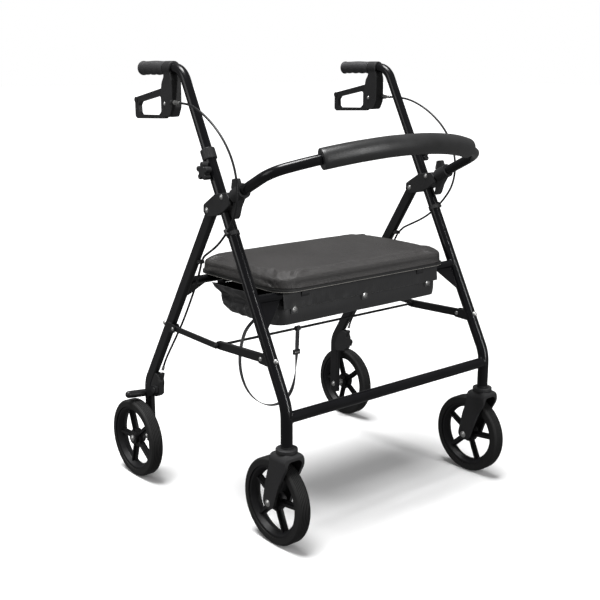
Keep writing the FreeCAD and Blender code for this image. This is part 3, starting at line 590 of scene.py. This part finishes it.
def weld_bead(name, centre, bar_radius, lean, sign, bead):
    """Rippled ring where a bar along X meets a tube that leans by lean."""
    bpy.ops.object.select_all(action="DESELECT")
    bpy.ops.mesh.primitive_torus_add(major_segments=96, minor_segments=10,
                                     major_radius=bar_radius, minor_radius=bead,
                                     rotation=(0, math.radians(90), 0))
    piece = bpy.context.object
    piece.name = name
    bpy.ops.object.transform_apply(location=True, rotation=True, scale=True)
    for vertex in piece.data.vertices:
        y, z = vertex.co.y, vertex.co.z
        off = y * math.cos(lean) - z * math.sin(lean)
        inward = math.sqrt(max(LEG_RADIUS ** 2 - off ** 2, 0))
        angle = math.atan2(z, y)
        ripple = 1 + 0.16 * math.sin(30 * angle)
        vertex.co = (centre[0] - sign * inward + vertex.co.x * ripple * 0.8,
                     centre[1] + y * (1 + 0.02 * math.sin(30 * angle)), centre[2] + z)
    bpy.ops.object.shade_smooth_by_angle(angle=math.radians(60))
    finish(piece, frame_paint)
    return piece


for side, sign in SIDES.items():
    for name, y, z, radius, lean in (("lower", -0.283, 0.285, 0.0118, 0.0),
                                     ("seat", -0.1763, 0.511, 0.0095, FRONT_LEAN)):
        bead = weld_bead(f"weld_{name}_{side}", (sign * HALF_TRACK, y, z), radius, lean,
                         sign, 0.0016)
        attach(bead, "front_frame")

# Clamped and moulded fittings: hinge brackets, height collars, backrest
# sockets, caster bearings, cable clips, brake bodies, forks and knobs are all
# fine-grained black nylon. Their bolts and the caster stems are zinc plated.
finish_nodes("moulding", moulding)
finish_nodes("zinc", zinc)
lever_plastic = moulded("lever_plastic", (0.018, 0.018, 0.019), 0.36, 1800, 0.00008, gloss=0.4)
finish_nodes("lever_plastic", lever_plastic)

# Wheels: a black nylon rim with five ribbed spokes, a dark grey polyurethane
# tyre with fine ribs round its tread, and a grey acetal bush on the axle.
rim = moulded("rim", (0.009, 0.009, 0.010), 0.46, 1100, 0.00015, gloss=0.35)
tyre = moulded("tyre", (0.015, 0.015, 0.015), 0.62, 700, 0.0003, gloss=0.3)
bush = moulded("bush", (0.25, 0.25, 0.25), 0.4, 900, 0.00005)
finish_nodes("rim", rim)
finish_nodes("tyre", tyre)
finish_nodes("bush", bush)

# Hand grips: soft black rubber pushed over the handle tube. The palm side is
# full and the underside flatter with shallow finger waves; rows of small ribs
# run across it, a raised collar meets the brake body and a cap closes the end.
grip_rubber = moulded("grip_rubber", (0.034, 0.034, 0.036), 0.48, 1500, 0.0004, gloss=0.5)
GRIP_HEIGHT, GRIP_START, GRIP_END = 0.975, 0.1253, 0.2238
RIB_PITCH = 0.0034


def hand_grip(side, sign):
    rings = [(0.0, 0.0118), (0.0, 0.0151), (0.0010, 0.0156), (0.0046, 0.0156), (0.0058, 0.0146)]
    along = 0.0080
    while along < 0.0890:
        rings += [(along, 0.0146), (along + 0.0008, 0.0150), (along + 0.0020, 0.0150),
                  (along + 0.0028, 0.0146)]
        along += RIB_PITCH
    rings += [(0.0915, 0.0148), (0.0935, 0.0157), (0.0965, 0.0160), (0.0982, 0.0156),
              (0.0985, 0.0125), (0.0980, 0.0105), (0.0980, 0.0010)]
    grip = turned(f"hand_grip_rubber_{side}", rings, (sign * HALF_TRACK, GRIP_START, GRIP_HEIGHT),
                  (0, 1, 0), segments=48, smooth=50)
    for vertex in grip.data.vertices:
        x = vertex.co.x - sign * HALF_TRACK
        z = vertex.co.z - GRIP_HEIGHT
        share = (vertex.co.y - GRIP_START) / (GRIP_END - GRIP_START)
        inside = min(max(share / 0.08, 0), 1) * min(max((1 - share) / 0.08, 0), 1)
        around = math.atan2(z, x)
        radius = math.hypot(x, z)
        palm = 0.0012 * math.exp(-((share - 0.45) / 0.28) ** 2) * max(math.sin(around), 0)
        waves = 0.0008 * math.sin(share * 4 * 2 * math.pi) * max(-math.sin(around), 0)
        flat = 0.0012 * max(-math.sin(around), 0) ** 3
        if radius > 0.0130:
            radius += (palm + waves - flat) * inside
        vertex.co.x = sign * HALF_TRACK + radius * math.cos(around)
        vertex.co.z = GRIP_HEIGHT + radius * math.sin(around)
    finish(grip, grip_rubber)
    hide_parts(f"hand_grip_{side}")
    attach(grip, f"handle_{side}")


for side, sign in SIDES.items():
    hand_grip(side, sign)

# Seat: soft black vinyl drawn over a foam slab and stapled under a plywood
# board. The foam crowns the top, rolls over at the edges and pulls into small
# creases at the corners. The raw edge of the ply shows as a thin pale line.
def upholstery(name, colour, roughness, grain, crease):
    """Leathercloth: small cells between fine creases, with painted shade in the creases, rubbed on
    the crown.
    """
    material, shader, nodes, links = new_material(name)
    shader.location = (900, 0)
    shader.inputs["Specular IOR Level"].default_value = 0.55
    place = nodes.new("ShaderNodeTexCoord")
    place.label, place.location = "where on the cover", (-2000, 0)
    cells = nodes.new("ShaderNodeTexVoronoi")
    cells.label = "grain cells"
    cells.feature = "DISTANCE_TO_EDGE"
    cells.inputs["Scale"].default_value = grain
    fine = nodes.new("ShaderNodeTexNoise")
    fine.label = "pores"
    fine.inputs["Scale"].default_value = grain * 3
    fine.inputs["Detail"].default_value = 3
    edge = nodes.new("ShaderNodeMapRange")
    edge.label = "crease between the cells"
    edge.inputs["From Max"].default_value = 0.16
    wear = nodes.new("ShaderNodeTexNoise")
    wear.label = "rubbed and creased areas"
    wear.inputs["Scale"].default_value = 7
    wear.inputs["Detail"].default_value = 5
    wear.inputs["Distortion"].default_value = 0.6
    shade = nodes.new("ShaderNodeMix")
    shade.label = "colour of the vinyl"
    shade.data_type = "RGBA"
    shade.inputs["A"].default_value = (*(0.78 * c for c in colour), 1)
    shade.inputs["B"].default_value = (*(1.25 * c for c in colour), 1)
    # The creases between the grain cells are painted darker: painted shade in the creases.
    deep = nodes.new("ShaderNodeMix")
    deep.label = "painted shade in the grain creases"
    deep.data_type = "RGBA"
    deep.inputs["A"].default_value = (*(0.4 * c for c in colour), 1)
    dull = nodes.new("ShaderNodeMapRange")
    dull.label = "roughness"
    dull.inputs["From Min"].default_value = 0.3
    dull.inputs["From Max"].default_value = 0.7
    dull.inputs["To Min"].default_value = roughness - 0.06
    dull.inputs["To Max"].default_value = roughness + 0.08
    both = nodes.new("ShaderNodeMath")
    both.label = "cells and pores"
    both.operation = "MULTIPLY_ADD"
    both.inputs[1].default_value = 0.3
    raised = nodes.new("ShaderNodeBump")
    raised.label = "height of the grain"
    raised.inputs["Strength"].default_value = 0.5
    raised.inputs["Distance"].default_value = crease
    column = 0
    for effect, members in {
        "grain": (cells, fine, edge, both, raised),
        "colour": (wear, shade, deep),
        "gloss": (dull,),
    }.items():
        group = nodes.new("NodeFrame")
        group.label = effect
        for member in members:
            column += 1
            member.parent, member.location = group, (180 * column - 1900, 0)
    for texture in (cells, fine, wear):
        links.new(place.outputs["Object"], texture.inputs["Vector"])
    links.new(cells.outputs["Distance"], edge.inputs["Value"])
    links.new(edge.outputs["Result"], both.inputs[2])
    links.new(fine.outputs["Fac"], both.inputs[0])
    links.new(wear.outputs["Fac"], shade.inputs["Factor"])
    links.new(shade.outputs["Result"], deep.inputs["B"])
    links.new(edge.outputs["Result"], deep.inputs["Factor"])
    links.new(deep.outputs["Result"], shader.inputs["Base Color"])
    links.new(wear.outputs["Fac"], dull.inputs["Value"])
    links.new(dull.outputs["Result"], shader.inputs["Roughness"])
    links.new(both.outputs["Value"], raised.inputs["Height"])
    links.new(raised.outputs["Normal"], shader.inputs["Normal"])
    return material


def inflate(pad, voxel, pressure, cap, held):
    """Swell a pad as its foam does; held says which points stay put."""
    bpy.ops.object.select_all(action="DESELECT")
    pad.select_set(True)
    bpy.context.view_layer.objects.active = pad
    pad.data.remesh_voxel_size = voxel
    bpy.ops.object.voxel_remesh()
    before = [vertex.co.copy() for vertex in pad.data.vertices]
    fixed = pad.vertex_groups.new(name="held")
    for vertex in pad.data.vertices:
        if held(vertex.co):
            fixed.add([vertex.index], 1.0, "REPLACE")
    cloth = pad.modifiers.new("foam", "CLOTH")
    cloth.settings.use_pressure = True
    cloth.settings.uniform_pressure_force = pressure
    cloth.settings.effector_weights.gravity = 0
    cloth.settings.vertex_group_mass = "held"
    for step in range(1, 21):
        bpy.context.scene.frame_set(step)
    bpy.ops.object.modifier_apply(modifier="foam")
    bpy.context.scene.frame_set(1)
    pad.vertex_groups.clear()
    for vertex, start in zip(pad.data.vertices, before):
        moved = vertex.co - start
        if moved.length > cap:
            vertex.co = start + moved * (cap / moved.length)
    soften(pad)


seat_vinyl = upholstery("seat_vinyl", (0.040, 0.0375, 0.0365), 0.44, 900, 0.0003)
seat_low, seat_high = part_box("seat_cushion")
CORNER_ROUND, ROLL, SWELL, TUCK = 0.058, 0.012, 0.006, 0.005
bpy.ops.object.select_all(action="DESELECT")
slab_low = seat_low + Vector((0.005, 0.005, 0.0))
slab_high = seat_high - Vector((0.005, 0.005, 0.006))
bpy.ops.mesh.primitive_cube_add(size=1, location=(slab_low + slab_high) / 2,
                                scale=slab_high - slab_low)
cushion = bpy.context.object
cushion.name = "seat_cushion_vinyl"
bpy.ops.object.transform_apply(location=True, rotation=True, scale=True)
bpy.ops.object.mode_set(mode="EDIT")
for round_over, steps, wanted in (
        (CORNER_ROUND - 0.005, 12, lambda a, b: abs((a - b).z) > 0.01),
        (ROLL, 5, lambda a, b: min(a.z, b.z) > slab_high.z - 0.001)):
    shape = bmesh.from_edit_mesh(cushion.data)
    bpy.ops.mesh.select_mode(type="EDGE")
    bpy.ops.mesh.select_all(action="DESELECT")
    for edge in shape.edges:
        edge.select = wanted(edge.verts[0].co, edge.verts[1].co)
    bmesh.update_edit_mesh(cushion.data)
    bpy.ops.mesh.bevel(offset=round_over, segments=steps, affect="EDGES")
bpy.ops.object.mode_set(mode="OBJECT")
inflate(cushion, 0.0045, 4.0, SWELL, lambda co: co.z < seat_low.z + 0.004)

# Foam crown, then the creases that the cover makes where it is pulled round
# the corners: each is a line from, to, depth and width in metres.
CROWN = 0.0035
seat_middle = (seat_low + seat_high) / 2
half_x, half_y = (seat_high.x - seat_low.x) / 2, (seat_high.y - seat_low.y) / 2
creases = [
    ((-0.250, -0.168), (-0.205, -0.150), 0.0020, 0.006),
    ((-0.236, -0.196), (-0.188, -0.178), 0.0026, 0.007),
    ((-0.214, -0.212), (-0.150, -0.200), 0.0020, 0.006),
    ((-0.262, -0.140), (-0.236, -0.112), 0.0016, 0.006),
    ((0.238, -0.196), (0.196, -0.176), 0.0018, 0.007),
    ((0.256, -0.160), (0.222, -0.142), 0.0014, 0.006),
    ((0.214, -0.212), (0.165, -0.202), 0.0014, 0.006),
    ((-0.240, 0.100), (-0.200, 0.080), 0.0018, 0.007),
    ((-0.262, 0.062), (-0.232, 0.040), 0.0014, 0.006),
    ((0.240, 0.100), (0.198, 0.082), 0.0018, 0.007),
    ((0.260, 0.060), (0.228, 0.044), 0.0014, 0.006),
]


def crease_depth(x, y):
    """How far the cover is drawn in at a place, and how near its line is."""
    depth = 0.0
    for (ax, ay), (bx, by), deep, wide in creases:
        dx, dy = bx - ax, by - ay
        share = ((x - ax) * dx + (y - ay) * dy) / (dx * dx + dy * dy)
        inside = min(max(share, 0), 1)
        away = math.hypot(x - ax - inside * dx, y - ay - inside * dy)
        depth += deep * (1 - 0.7 * inside) * math.exp(-(away / wide) ** 2)
    return depth


for vertex in cushion.data.vertices:
    lower = min(max((seat_high.z - vertex.co.z) / (seat_high.z - seat_low.z), 0), 1)
    vertex.co.x = seat_middle.x + (vertex.co.x - seat_middle.x) * (1 - TUCK * lower / half_x)
    vertex.co.y = seat_middle.y + (vertex.co.y - seat_middle.y) * (1 - TUCK * lower / half_y)
cushion.data.update()
normals = [vertex.normal.copy() for vertex in cushion.data.vertices]
for vertex, normal in zip(cushion.data.vertices, normals):
    co = vertex.co
    if co.z < seat_low.z + 0.003:
        co.z = max(co.z, seat_low.z + 0.0003)
        continue
    rise = (co.z - seat_low.z) / (seat_high.z - seat_low.z)
    u, v = (co.x - seat_middle.x) / half_x, (co.y - seat_middle.y) / half_y
    crown = CROWN * max(1 - u * u, 0) * max(1 - v * v, 0) * max(rise, 0)
    slack = 0.0007 * noise.noise(Vector((co.x * 9, co.y * 9, co.z * 14)))
    vertex.co = co + normal * (slack * rise - crease_depth(co.x, co.y) * rise)
    vertex.co.z = min(vertex.co.z + crown, seat_high.z + 0.0025)
bpy.ops.object.shade_smooth()
finish(cushion, seat_vinyl)
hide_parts("seat_cushion")
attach(cushion, "seat")

# The board: black painted birch ply whose sawn edge is left pale along the
# bottom, under the turned-in cover.
def painted_ply(name):
    """Painted board whose bare edge shows as one line round its foot."""
    material, shader, nodes, links = new_material(name)
    shader.location = (800, 0)
    shader.inputs["Roughness"].default_value = 0.6
    place = nodes.new("ShaderNodeTexCoord")
    place.label, place.location = "where on the board", (-2000, 0)
    height = nodes.new("ShaderNodeSeparateXYZ")
    height.label = "height in the board"
    edge = nodes.new("ShaderNodeMath")
    edge.label = "pale line along the sawn edge"
    edge.operation = "COMPARE"
    edge.inputs[1].default_value = 0.5216
    edge.inputs[2].default_value = 0.0003
    fibre = nodes.new("ShaderNodeTexNoise")
    fibre.label = "fibres of the ply"
    fibre.inputs["Scale"].default_value = 240
    fibre.inputs["Detail"].default_value = 5
    pale = nodes.new("ShaderNodeMix")
    pale.label = "pale wood of the edge"
    pale.data_type = "RGBA"
    pale.inputs["A"].default_value = (0.40, 0.385, 0.36, 1)
    pale.inputs["B"].default_value = (0.60, 0.58, 0.54, 1)
    shade = nodes.new("ShaderNodeMix")
    shade.label = "paint over the rest"
    shade.data_type = "RGBA"
    shade.inputs["A"].default_value = (0.016, 0.016, 0.016, 1)
    raised = nodes.new("ShaderNodeBump")
    raised.label = "raised fibres"
    raised.inputs["Strength"].default_value = 0.4
    raised.inputs["Distance"].default_value = 0.0003
    column = 0
    for effect, members in {
        "edge": (height, edge),
        "colour": (pale, shade),
        "fibres": (fibre, raised),
    }.items():
        group = nodes.new("NodeFrame")
        group.label = effect
        for member in members:
            column += 1
            member.parent, member.location = group, (180 * column - 1900, 0)
    links.new(place.outputs["Object"], height.inputs["Vector"])
    links.new(place.outputs["Object"], fibre.inputs["Vector"])
    links.new(height.outputs["Z"], edge.inputs[0])
    links.new(fibre.outputs["Fac"], pale.inputs["Factor"])
    links.new(pale.outputs["Result"], shade.inputs["B"])
    links.new(edge.outputs["Value"], shade.inputs["Factor"])
    links.new(shade.outputs["Result"], shader.inputs["Base Color"])
    links.new(fibre.outputs["Fac"], raised.inputs["Height"])
    links.new(raised.outputs["Normal"], shader.inputs["Normal"])
    return material


board = painted_ply("board")
finish_nodes("board", board)

# Backrest: a bent tube carries a thick sleeve of closed-cell foam with a thin
# moulded skin. The sleeve is slid on over the bow, follows its curve and ends
# in flat cut faces round the tube.
foam_skin = moulded("foam", (0.024, 0.024, 0.0245), 0.40, 520, 0.00018, gloss=0.5)
BOW_RADIUS, PAD_RADIUS, PAD_HALF_WIDTH = 0.511, 0.0222, 0.2145
BOW_CENTRE_FORWARD, BOW_SLOPE = -0.265, math.atan(0.5)
BOW_START_Y, BOW_START_Z = -0.104, 0.713
half_sweep = math.asin(PAD_HALF_WIDTH / BOW_RADIUS)
bpy.ops.object.select_all(action="DESELECT")
bpy.ops.mesh.primitive_circle_add(vertices=48, radius=PAD_RADIUS, fill_type="NGON",
                                  location=(0, BOW_RADIUS, 0), rotation=(0, math.radians(90), 0))
pad = bpy.context.object
pad.name = "backrest_foam"
bpy.ops.object.transform_apply(location=True, rotation=True, scale=True)
bpy.ops.object.mode_set(mode="EDIT")
bpy.ops.mesh.select_all(action="SELECT")
bpy.ops.transform.rotate(value=-half_sweep, orient_axis="Z", center_override=(0, 0, 0))
bpy.ops.object.mode_set(mode="OBJECT")
bpy.ops.object.mode_set(mode="EDIT")
bpy.ops.mesh.select_all(action="SELECT")
bpy.ops.mesh.inset(thickness=0.0016)
bpy.ops.mesh.select_all(action="SELECT")
bpy.ops.mesh.spin(steps=56, angle=2 * half_sweep, center=(0, 0, 0), axis=(0, 0, 1))
bpy.ops.mesh.select_all(action="SELECT")
bpy.ops.mesh.remove_doubles(threshold=0.00001)
bpy.ops.mesh.normals_make_consistent(inside=False)
bpy.ops.object.mode_set(mode="OBJECT")
forward = Vector((0, -math.cos(BOW_SLOPE), math.sin(BOW_SLOPE)))
below = Vector((1, 0, 0)).cross(forward)
middle = Vector((0, BOW_START_Y, BOW_START_Z)) + forward * BOW_CENTRE_FORWARD
place = Matrix.Translation(middle) @ Matrix(
    ((1, forward.x, below.x), (0, forward.y, below.y), (0, forward.z, below.z))).to_4x4()
pad.data.transform(place)
for vertex in pad.data.vertices:
    dent = noise.noise(Vector((vertex.co.x * 16, vertex.co.y * 30, vertex.co.z * 30)))
    fine_dent = noise.noise(Vector((vertex.co.x * 70, vertex.co.y * 60, vertex.co.z * 60)))
    vertex.co += vertex.normal * (0.0005 * dent + 0.00015 * fine_dent)
edge_round = pad.modifiers.new("cut_edge", "BEVEL")
edge_round.width, edge_round.segments, edge_round.angle_limit = 0.0012, 2, math.radians(50)
bpy.ops.object.select_all(action="DESELECT")
pad.select_set(True)
bpy.context.view_layer.objects.active = pad
bpy.ops.object.modifier_apply(modifier="cut_edge")
bpy.ops.object.shade_smooth_by_angle(angle=math.radians(40))
finish(pad, foam_skin)
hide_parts("backrest_pad")
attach(pad, "front_frame")

# Storage bag: an open bag of thin black woven nylon under the seat. It hangs
# from both seat bars by sewn tabs; its sides are slack and crumpled, and its
# back falls forward from the rear bar.
nylon = woven_cloth("nylon_cloth", (0.007, 0.007, 0.008), (0.019, 0.019, 0.020), 2200,
                    (0, 0, 0.5), 0.5, 0.0002)
BAG_HALF, BAG_FRONT, BAG_REAR, BAG_CORNER = 0.243, -0.1765, 0.060, 0.026
BAG_FLOOR, BAG_RIM = 0.4465, 0.498
AROUND, LEVELS, FLOOR_RINGS = 220, 15, 12
SNAP_PITCH = 0.205
SNAP_X = (-SNAP_PITCH, 0.0, SNAP_PITCH)


def bag_plan(share):
    """Point at a share of the way round the bag's rounded plan, from its
    front left corner along the front, and the outward direction there."""
    half, front, rear, corner = BAG_HALF, BAG_FRONT, BAG_REAR, BAG_CORNER
    wide, deep = 2 * (half - corner), (rear - front) - 2 * corner
    arc = math.pi / 2 * corner
    lengths = (wide, arc, deep, arc, wide, arc, deep, arc)
    run = share % 1 * sum(lengths)
    starts = ((-half + corner, front), None, (half, front + corner), None,
              (half - corner, rear), None, (-half, rear - corner), None)
    heads = ((1, 0), None, (0, 1), None, (-1, 0), None, (0, -1), None)
    centres = (None, (half - corner, front + corner), None, (half - corner, rear - corner),
               None, (-half + corner, rear - corner), None, (-half + corner, front + corner))
    for i, length in enumerate(lengths):
        if run <= length or i == 7:
            break
        run -= length
    if i % 2 == 0:
        (sx, sy), (hx, hy) = starts[i], heads[i]
        return sx + hx * run, sy + hy * run, hy, -hx
    angle = math.radians(-90 + 90 * (i // 2)) + run / corner
    cx, cy = centres[i]
    return (cx + corner * math.cos(angle), cy + corner * math.sin(angle),
            math.cos(angle), math.sin(angle))


def fold_of(x, y, z, coarse, seed):
    """Crumple of thin cloth: sharp-backed folds from ridged noise."""
    spot = Vector((x * coarse + seed, y * coarse, z * coarse * 1.3))
    ridge = 1 - 2.4 * abs(noise.noise(spot))
    small = 1 - 2.4 * abs(noise.noise(spot * 2.3 + Vector((7, 3, 1))))
    return 0.65 * ridge + 0.35 * small


def bag_surface(share, level):
    """Point of the bag's wall; level is 0 at the floor and 1 at the rim."""
    x, y, out_x, out_y = bag_plan(share)
    z = BAG_FLOOR + (BAG_RIM - BAG_FLOOR) * level
    front = max(-out_y, 0) ** 2
    back = max(out_y, 0) ** 2
    end = abs(out_x) ** 2
    slack = 0.25 + 0.75 * math.sin(math.pi * min(level * 0.9 + 0.1, 1))
    crumple = fold_of(x, y, z, 22, 3.1)
    bulge = 0.004 * math.sin(math.pi * level)
    away = bulge + slack * (0.0018 * front * level ** 2 + 0.0060 * back + 0.0110 * end) * crumple
    # each end is pinched half way up and splays again at the rim
    away += end * (0.014 * level ** 4 - 0.012 * math.exp(-((level - 0.60) / 0.16) ** 2))
    # the back leans forward towards the floor, most at the bag's right end
    lean = (1 - level) * (0.030 + 0.022 * (0.5 - 0.5 * x / BAG_HALF))
    y -= lean * min(max((y - BAG_FRONT) / (BAG_REAR - BAG_FRONT), 0), 1)
    # between its tabs the rim droops; at the ends it stands up and splays
    droop = 0.006 * front * (1 - math.cos(2 * math.pi * (x + SNAP_PITCH) / SNAP_PITCH)) / 2
    droop += (0.004 * crumple - 0.008) * end + 0.005 * back * (1 + crumple) / 2
    z -= droop * level ** 1.5
    z += 0.003 * crumple * (1 - front) * level
    return Vector((x + out_x * away, y + out_y * away, z))


cloth_shape = bmesh.new()
wall_rings = []
for level in range(LEVELS + 1):
    wall_rings.append([cloth_shape.verts.new(bag_surface(i / AROUND, level / LEVELS))
                       for i in range(AROUND)])
floor_rings = []
for ring in range(1, FLOOR_RINGS + 1):
    inward = ring / FLOOR_RINGS
    points = []
    for i in range(AROUND):
        foot = bag_surface(i / AROUND, 0)
        middle_y = (BAG_FRONT + BAG_REAR) / 2 - 0.02
        target = Vector((max(min(foot.x, 0.16), -0.16), middle_y, BAG_FLOOR))
        point = foot.lerp(target, inward * 0.97)
        roll = 0.004 * min(inward * 6, 1)
        wave = 0.0022 * fold_of(point.x, point.y, 0.4, 18, 9.7) * min(inward * 4, 1)
        point.z = BAG_FLOOR - roll + wave
        points.append(cloth_shape.verts.new(point))
    floor_rings.append(points)
for low, high in zip(wall_rings, wall_rings[1:]):
    for i in range(AROUND):
        j = (i + 1) % AROUND
        cloth_shape.faces.new((low[i], low[j], high[j], high[i]))
for outer, inner in zip([wall_rings[0]] + floor_rings, floor_rings):
    for i in range(AROUND):
        j = (i + 1) % AROUND
        cloth_shape.faces.new((outer[j], outer[i], inner[i], inner[j]))
last = floor_rings[-1]
for i in range(AROUND // 2 - 1):
    quad = (last[i + 1], last[i], last[-i - 1], last[-i - 2])
    cloth_shape.faces.new([v for k, v in enumerate(quad) if v not in quad[:k]])
bmesh.ops.recalc_face_normals(cloth_shape, faces=cloth_shape.faces)
bag = mesh_piece("storage_bag_cloth", cloth_shape)
thicken(bag, 0.0009, -1)
bpy.ops.object.shade_smooth()
finish(bag, nylon)
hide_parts("storage_bag")
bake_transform(bag)


# Front band: a doubled strip of the same nylon with a bound top edge, sewn on
# across the bag's front. It sags a little between the three snap tabs and is
# turned round both front corners.
def strip_mesh(name, columns, thick, material):
    """Cloth strip from columns of points, low to high, given a thickness."""
    shape = bmesh.new()
    grid = [[shape.verts.new(point) for point in column] for column in columns]
    for left, right in zip(grid, grid[1:]):
        for i in range(len(left) - 1):
            shape.faces.new((left[i], right[i], right[i + 1], left[i + 1]))
    piece = mesh_piece(name, shape)
    thicken(piece, thick, 1)
    soften(piece)
    bpy.ops.object.shade_smooth()
    finish(piece, material)
    return piece


BAND_LOW, BAND_HIGH, BAND_SAG = 0.4455, 0.4865, 0.0065
BAND_PAST, BAND_TURN = 0.060, 0.028


def band_point(along, level):
    """Along the band from -1 at its right end to 1; level 0 to 1."""
    reach = BAG_HALF - BAG_CORNER
    x = max(min(along * (reach + BAND_PAST), reach), -reach)
    beyond = max(abs(along) * (reach + BAND_PAST) - reach, 0)
    angle = min(beyond / BAND_TURN, math.pi / 2)
    side = 1 if along > 0 else -1
    x += side * BAND_TURN * math.sin(angle)
    y = BAG_FRONT - 0.0042 + BAND_TURN * (1 - math.cos(angle)) + max(beyond - 0.044, 0)
    between = (1 - math.cos(2 * math.pi * (x - SNAP_X[0]) / SNAP_PITCH)) / 2
    top = BAND_HIGH - BAND_SAG * between * (abs(x) < SNAP_PITCH)
    z = BAND_LOW + (top - BAND_LOW) * level
    ease = 0.0016 * noise.noise(Vector((x * 14, 2.0, z * 22)))
    belly = 0.0025 * math.sin(math.pi * level) + 0.0015 * level * between
    return Vector((x, y - belly - ease, z))


band = strip_mesh("storage_bag_band",
                  [[band_point(-1 + i / 60, j / 10) for j in range(11)] for i in range(121)],
                  0.0011, nylon)
binding = swept_section("storage_bag_binding",
                        [band_point(-1 + i / 60, 1) + Vector((0, -0.0006, 0)) for i in range(121)],
                        [(0.0011 * math.cos(math.radians(a)), 0.0017 * math.sin(math.radians(a)))
                         for a in range(0, 360, 36)], lambda share: Vector((0, 1, 0.01)))
finish(binding, webbing)
for piece in (band, binding):
    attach(piece, "front_frame")

# Valance: the bag's front edge is carried up over the front seat bar, so a
# slack strip of cloth shows between the band and the board.
FRONT_BAR, BAR_Z = -0.1763, 0.511
valance_rows = [(-0.0098, -0.030), (-0.0100, -0.024), (-0.0100, -0.018), (-0.0100, -0.012),
                (-0.0100, -0.006), (-0.0099, 0.0), (-0.0088, 0.0045), (-0.0060, 0.0078),
                (-0.0020, 0.0097), (0.0020, 0.0097)]


def valance_point(x, row):
    out, up = valance_rows[row]
    hang = max(-up / 0.030, 0)
    pucker = 0.0034 * hang * fold_of(x, 0.2, up, 26, 5.3)
    return Vector((x, FRONT_BAR + out - pucker, BAR_Z + up))


valance = strip_mesh("storage_bag_valance",
                     [[valance_point(-0.236 + 0.004 * i, row) for row in range(10)]
                      for i in range(119)], 0.0006, nylon)
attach(valance, "front_frame")

# Tabs: short straps of webbing that pass over the seat bars and come down on
# both sides. The front ones are closed with nickel snaps through the band.
BAR_RADIUS, REAR_BAR = 0.0095, 0.067


def hanging_tab(name, x, bar_y, facing, low, width):
    """Strap round a bar, with its free end down to low on the facing side."""
    around = BAR_RADIUS + 0.0009
    outer = bar_y + facing * around
    points = [(outer + facing * 0.0012, low), (outer + facing * 0.0016, low + 0.012),
              (outer + facing * 0.0004, BAR_Z - 0.012), (outer, BAR_Z)]
    points += [(bar_y + facing * around * math.cos(math.radians(a)),
                BAR_Z + around * math.sin(math.radians(a))) for a in range(20, 181, 20)]
    points += [(bar_y - facing * (around - 0.0005), BAR_Z - 0.014)]
    columns = [[Vector((x + (i - 4) / 4 * width / 2, y, z)) for y, z in points]
               for i in range(9)]
    if facing > 0:
        columns.reverse()
    return strip_mesh(name, columns, 0.0011, webbing)


for number, x in enumerate(SNAP_X, start=1):
    front_tab = hanging_tab(f"storage_bag_front_tab_{number}", x, FRONT_BAR + 0.0028, -1, 0.4690,
                            0.020)
    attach(front_tab, "front_frame")
    rear_tab = hanging_tab(f"storage_bag_rear_tab_{number}", x, REAR_BAR, 1, 0.4860, 0.024)
    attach(rear_tab, "rear_frame")
    snap = turned(f"storage_bag_snap_{number}",
                  ((0, 0.0072), (0.0008, 0.0075), (0.0016, 0.0071), (0.0023, 0.0058),
                   (0.0028, 0.0038), (0.0029, 0.0012)),
                  (x, FRONT_BAR + 0.0028 - BAR_RADIUS - 0.0032, 0.4795), (0, -1, 0), segments=32)
    finish(snap, zinc)
    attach(snap, "front_frame")

# The walker stands on a pale floor before a white background. A soft sun lamp
# stands in for the big overhead soft box, a tall strip box in front draws the
# thin highlights down the tubes, and a wide dim box at the left fills.
bpy.ops.object.select_all(action="DESELECT")
bpy.ops.mesh.primitive_plane_add(size=80, location=(0, 0, -0.0005))
floor = bpy.context.object
floor.name = "studio_floor"
floor_paint, floor_shader = new_material("studio_floor")[:2]
floor_shader.inputs["Base Color"].default_value = (0.85, 0.85, 0.85, 1)
floor_shader.inputs["Roughness"].default_value = 1.0
floor_shader.inputs["Specular IOR Level"].default_value = 0.0
floor.data.materials.append(floor_paint)
floor.visible_diffuse = floor.visible_glossy = False

world = bpy.data.worlds.new("studio")
world.use_nodes = True
sky = world.node_tree.nodes
backdrop = sky["Background"]
backdrop.label = "white background, lit apart from the walker"
backdrop.inputs["Color"].default_value = (1, 1, 1, 1)
room = sky.new("ShaderNodeBackground")
room.label = "dim studio round the walker"
room.inputs["Color"].default_value = (1, 1, 1, 1)
room.inputs["Strength"].default_value = 0.17
rays = sky.new("ShaderNodeLightPath")
either = sky.new("ShaderNodeMixShader")
world.node_tree.links.new(rays.outputs["Is Camera Ray"], either.inputs["Fac"])
world.node_tree.links.new(room.outputs["Background"], either.inputs[1])
world.node_tree.links.new(backdrop.outputs["Background"], either.inputs[2])
world.node_tree.links.new(either.outputs["Shader"], sky["World Output"].inputs["Surface"])
bpy.context.scene.world = world


def lamp_at(name, kind, place, aim, power):
    """Studio lamp that points from its place at its aim."""
    lamp = bpy.data.lights.new(name, kind)
    lamp.energy = power
    holder = bpy.data.objects.new(name, lamp)
    bpy.context.scene.collection.objects.link(holder)
    holder.location = place
    facing = Vector(aim) - Vector(place)
    holder.rotation_euler = facing.to_track_quat("-Z", "Y").to_euler()
    return lamp


overhead = lamp_at("overhead_box", "SUN", (-0.5, 0.3, 4.0), (0, 0, 0.5), 4.8)
overhead.angle = math.radians(30)
strip = lamp_at("front_strip", "AREA", (0.5, -3.2, 1.3), (0, 0, 0.6), 55)
strip.shape, strip.size, strip.size_y = "RECTANGLE", 0.12, 2.6
fill = lamp_at("left_fill", "AREA", (-3.0, 0.6, 1.6), (0, 0, 0.5), 20)
fill.shape, fill.size, fill.size_y = "RECTANGLE", 1.6, 2.0

bpy.context.view_layer.update()
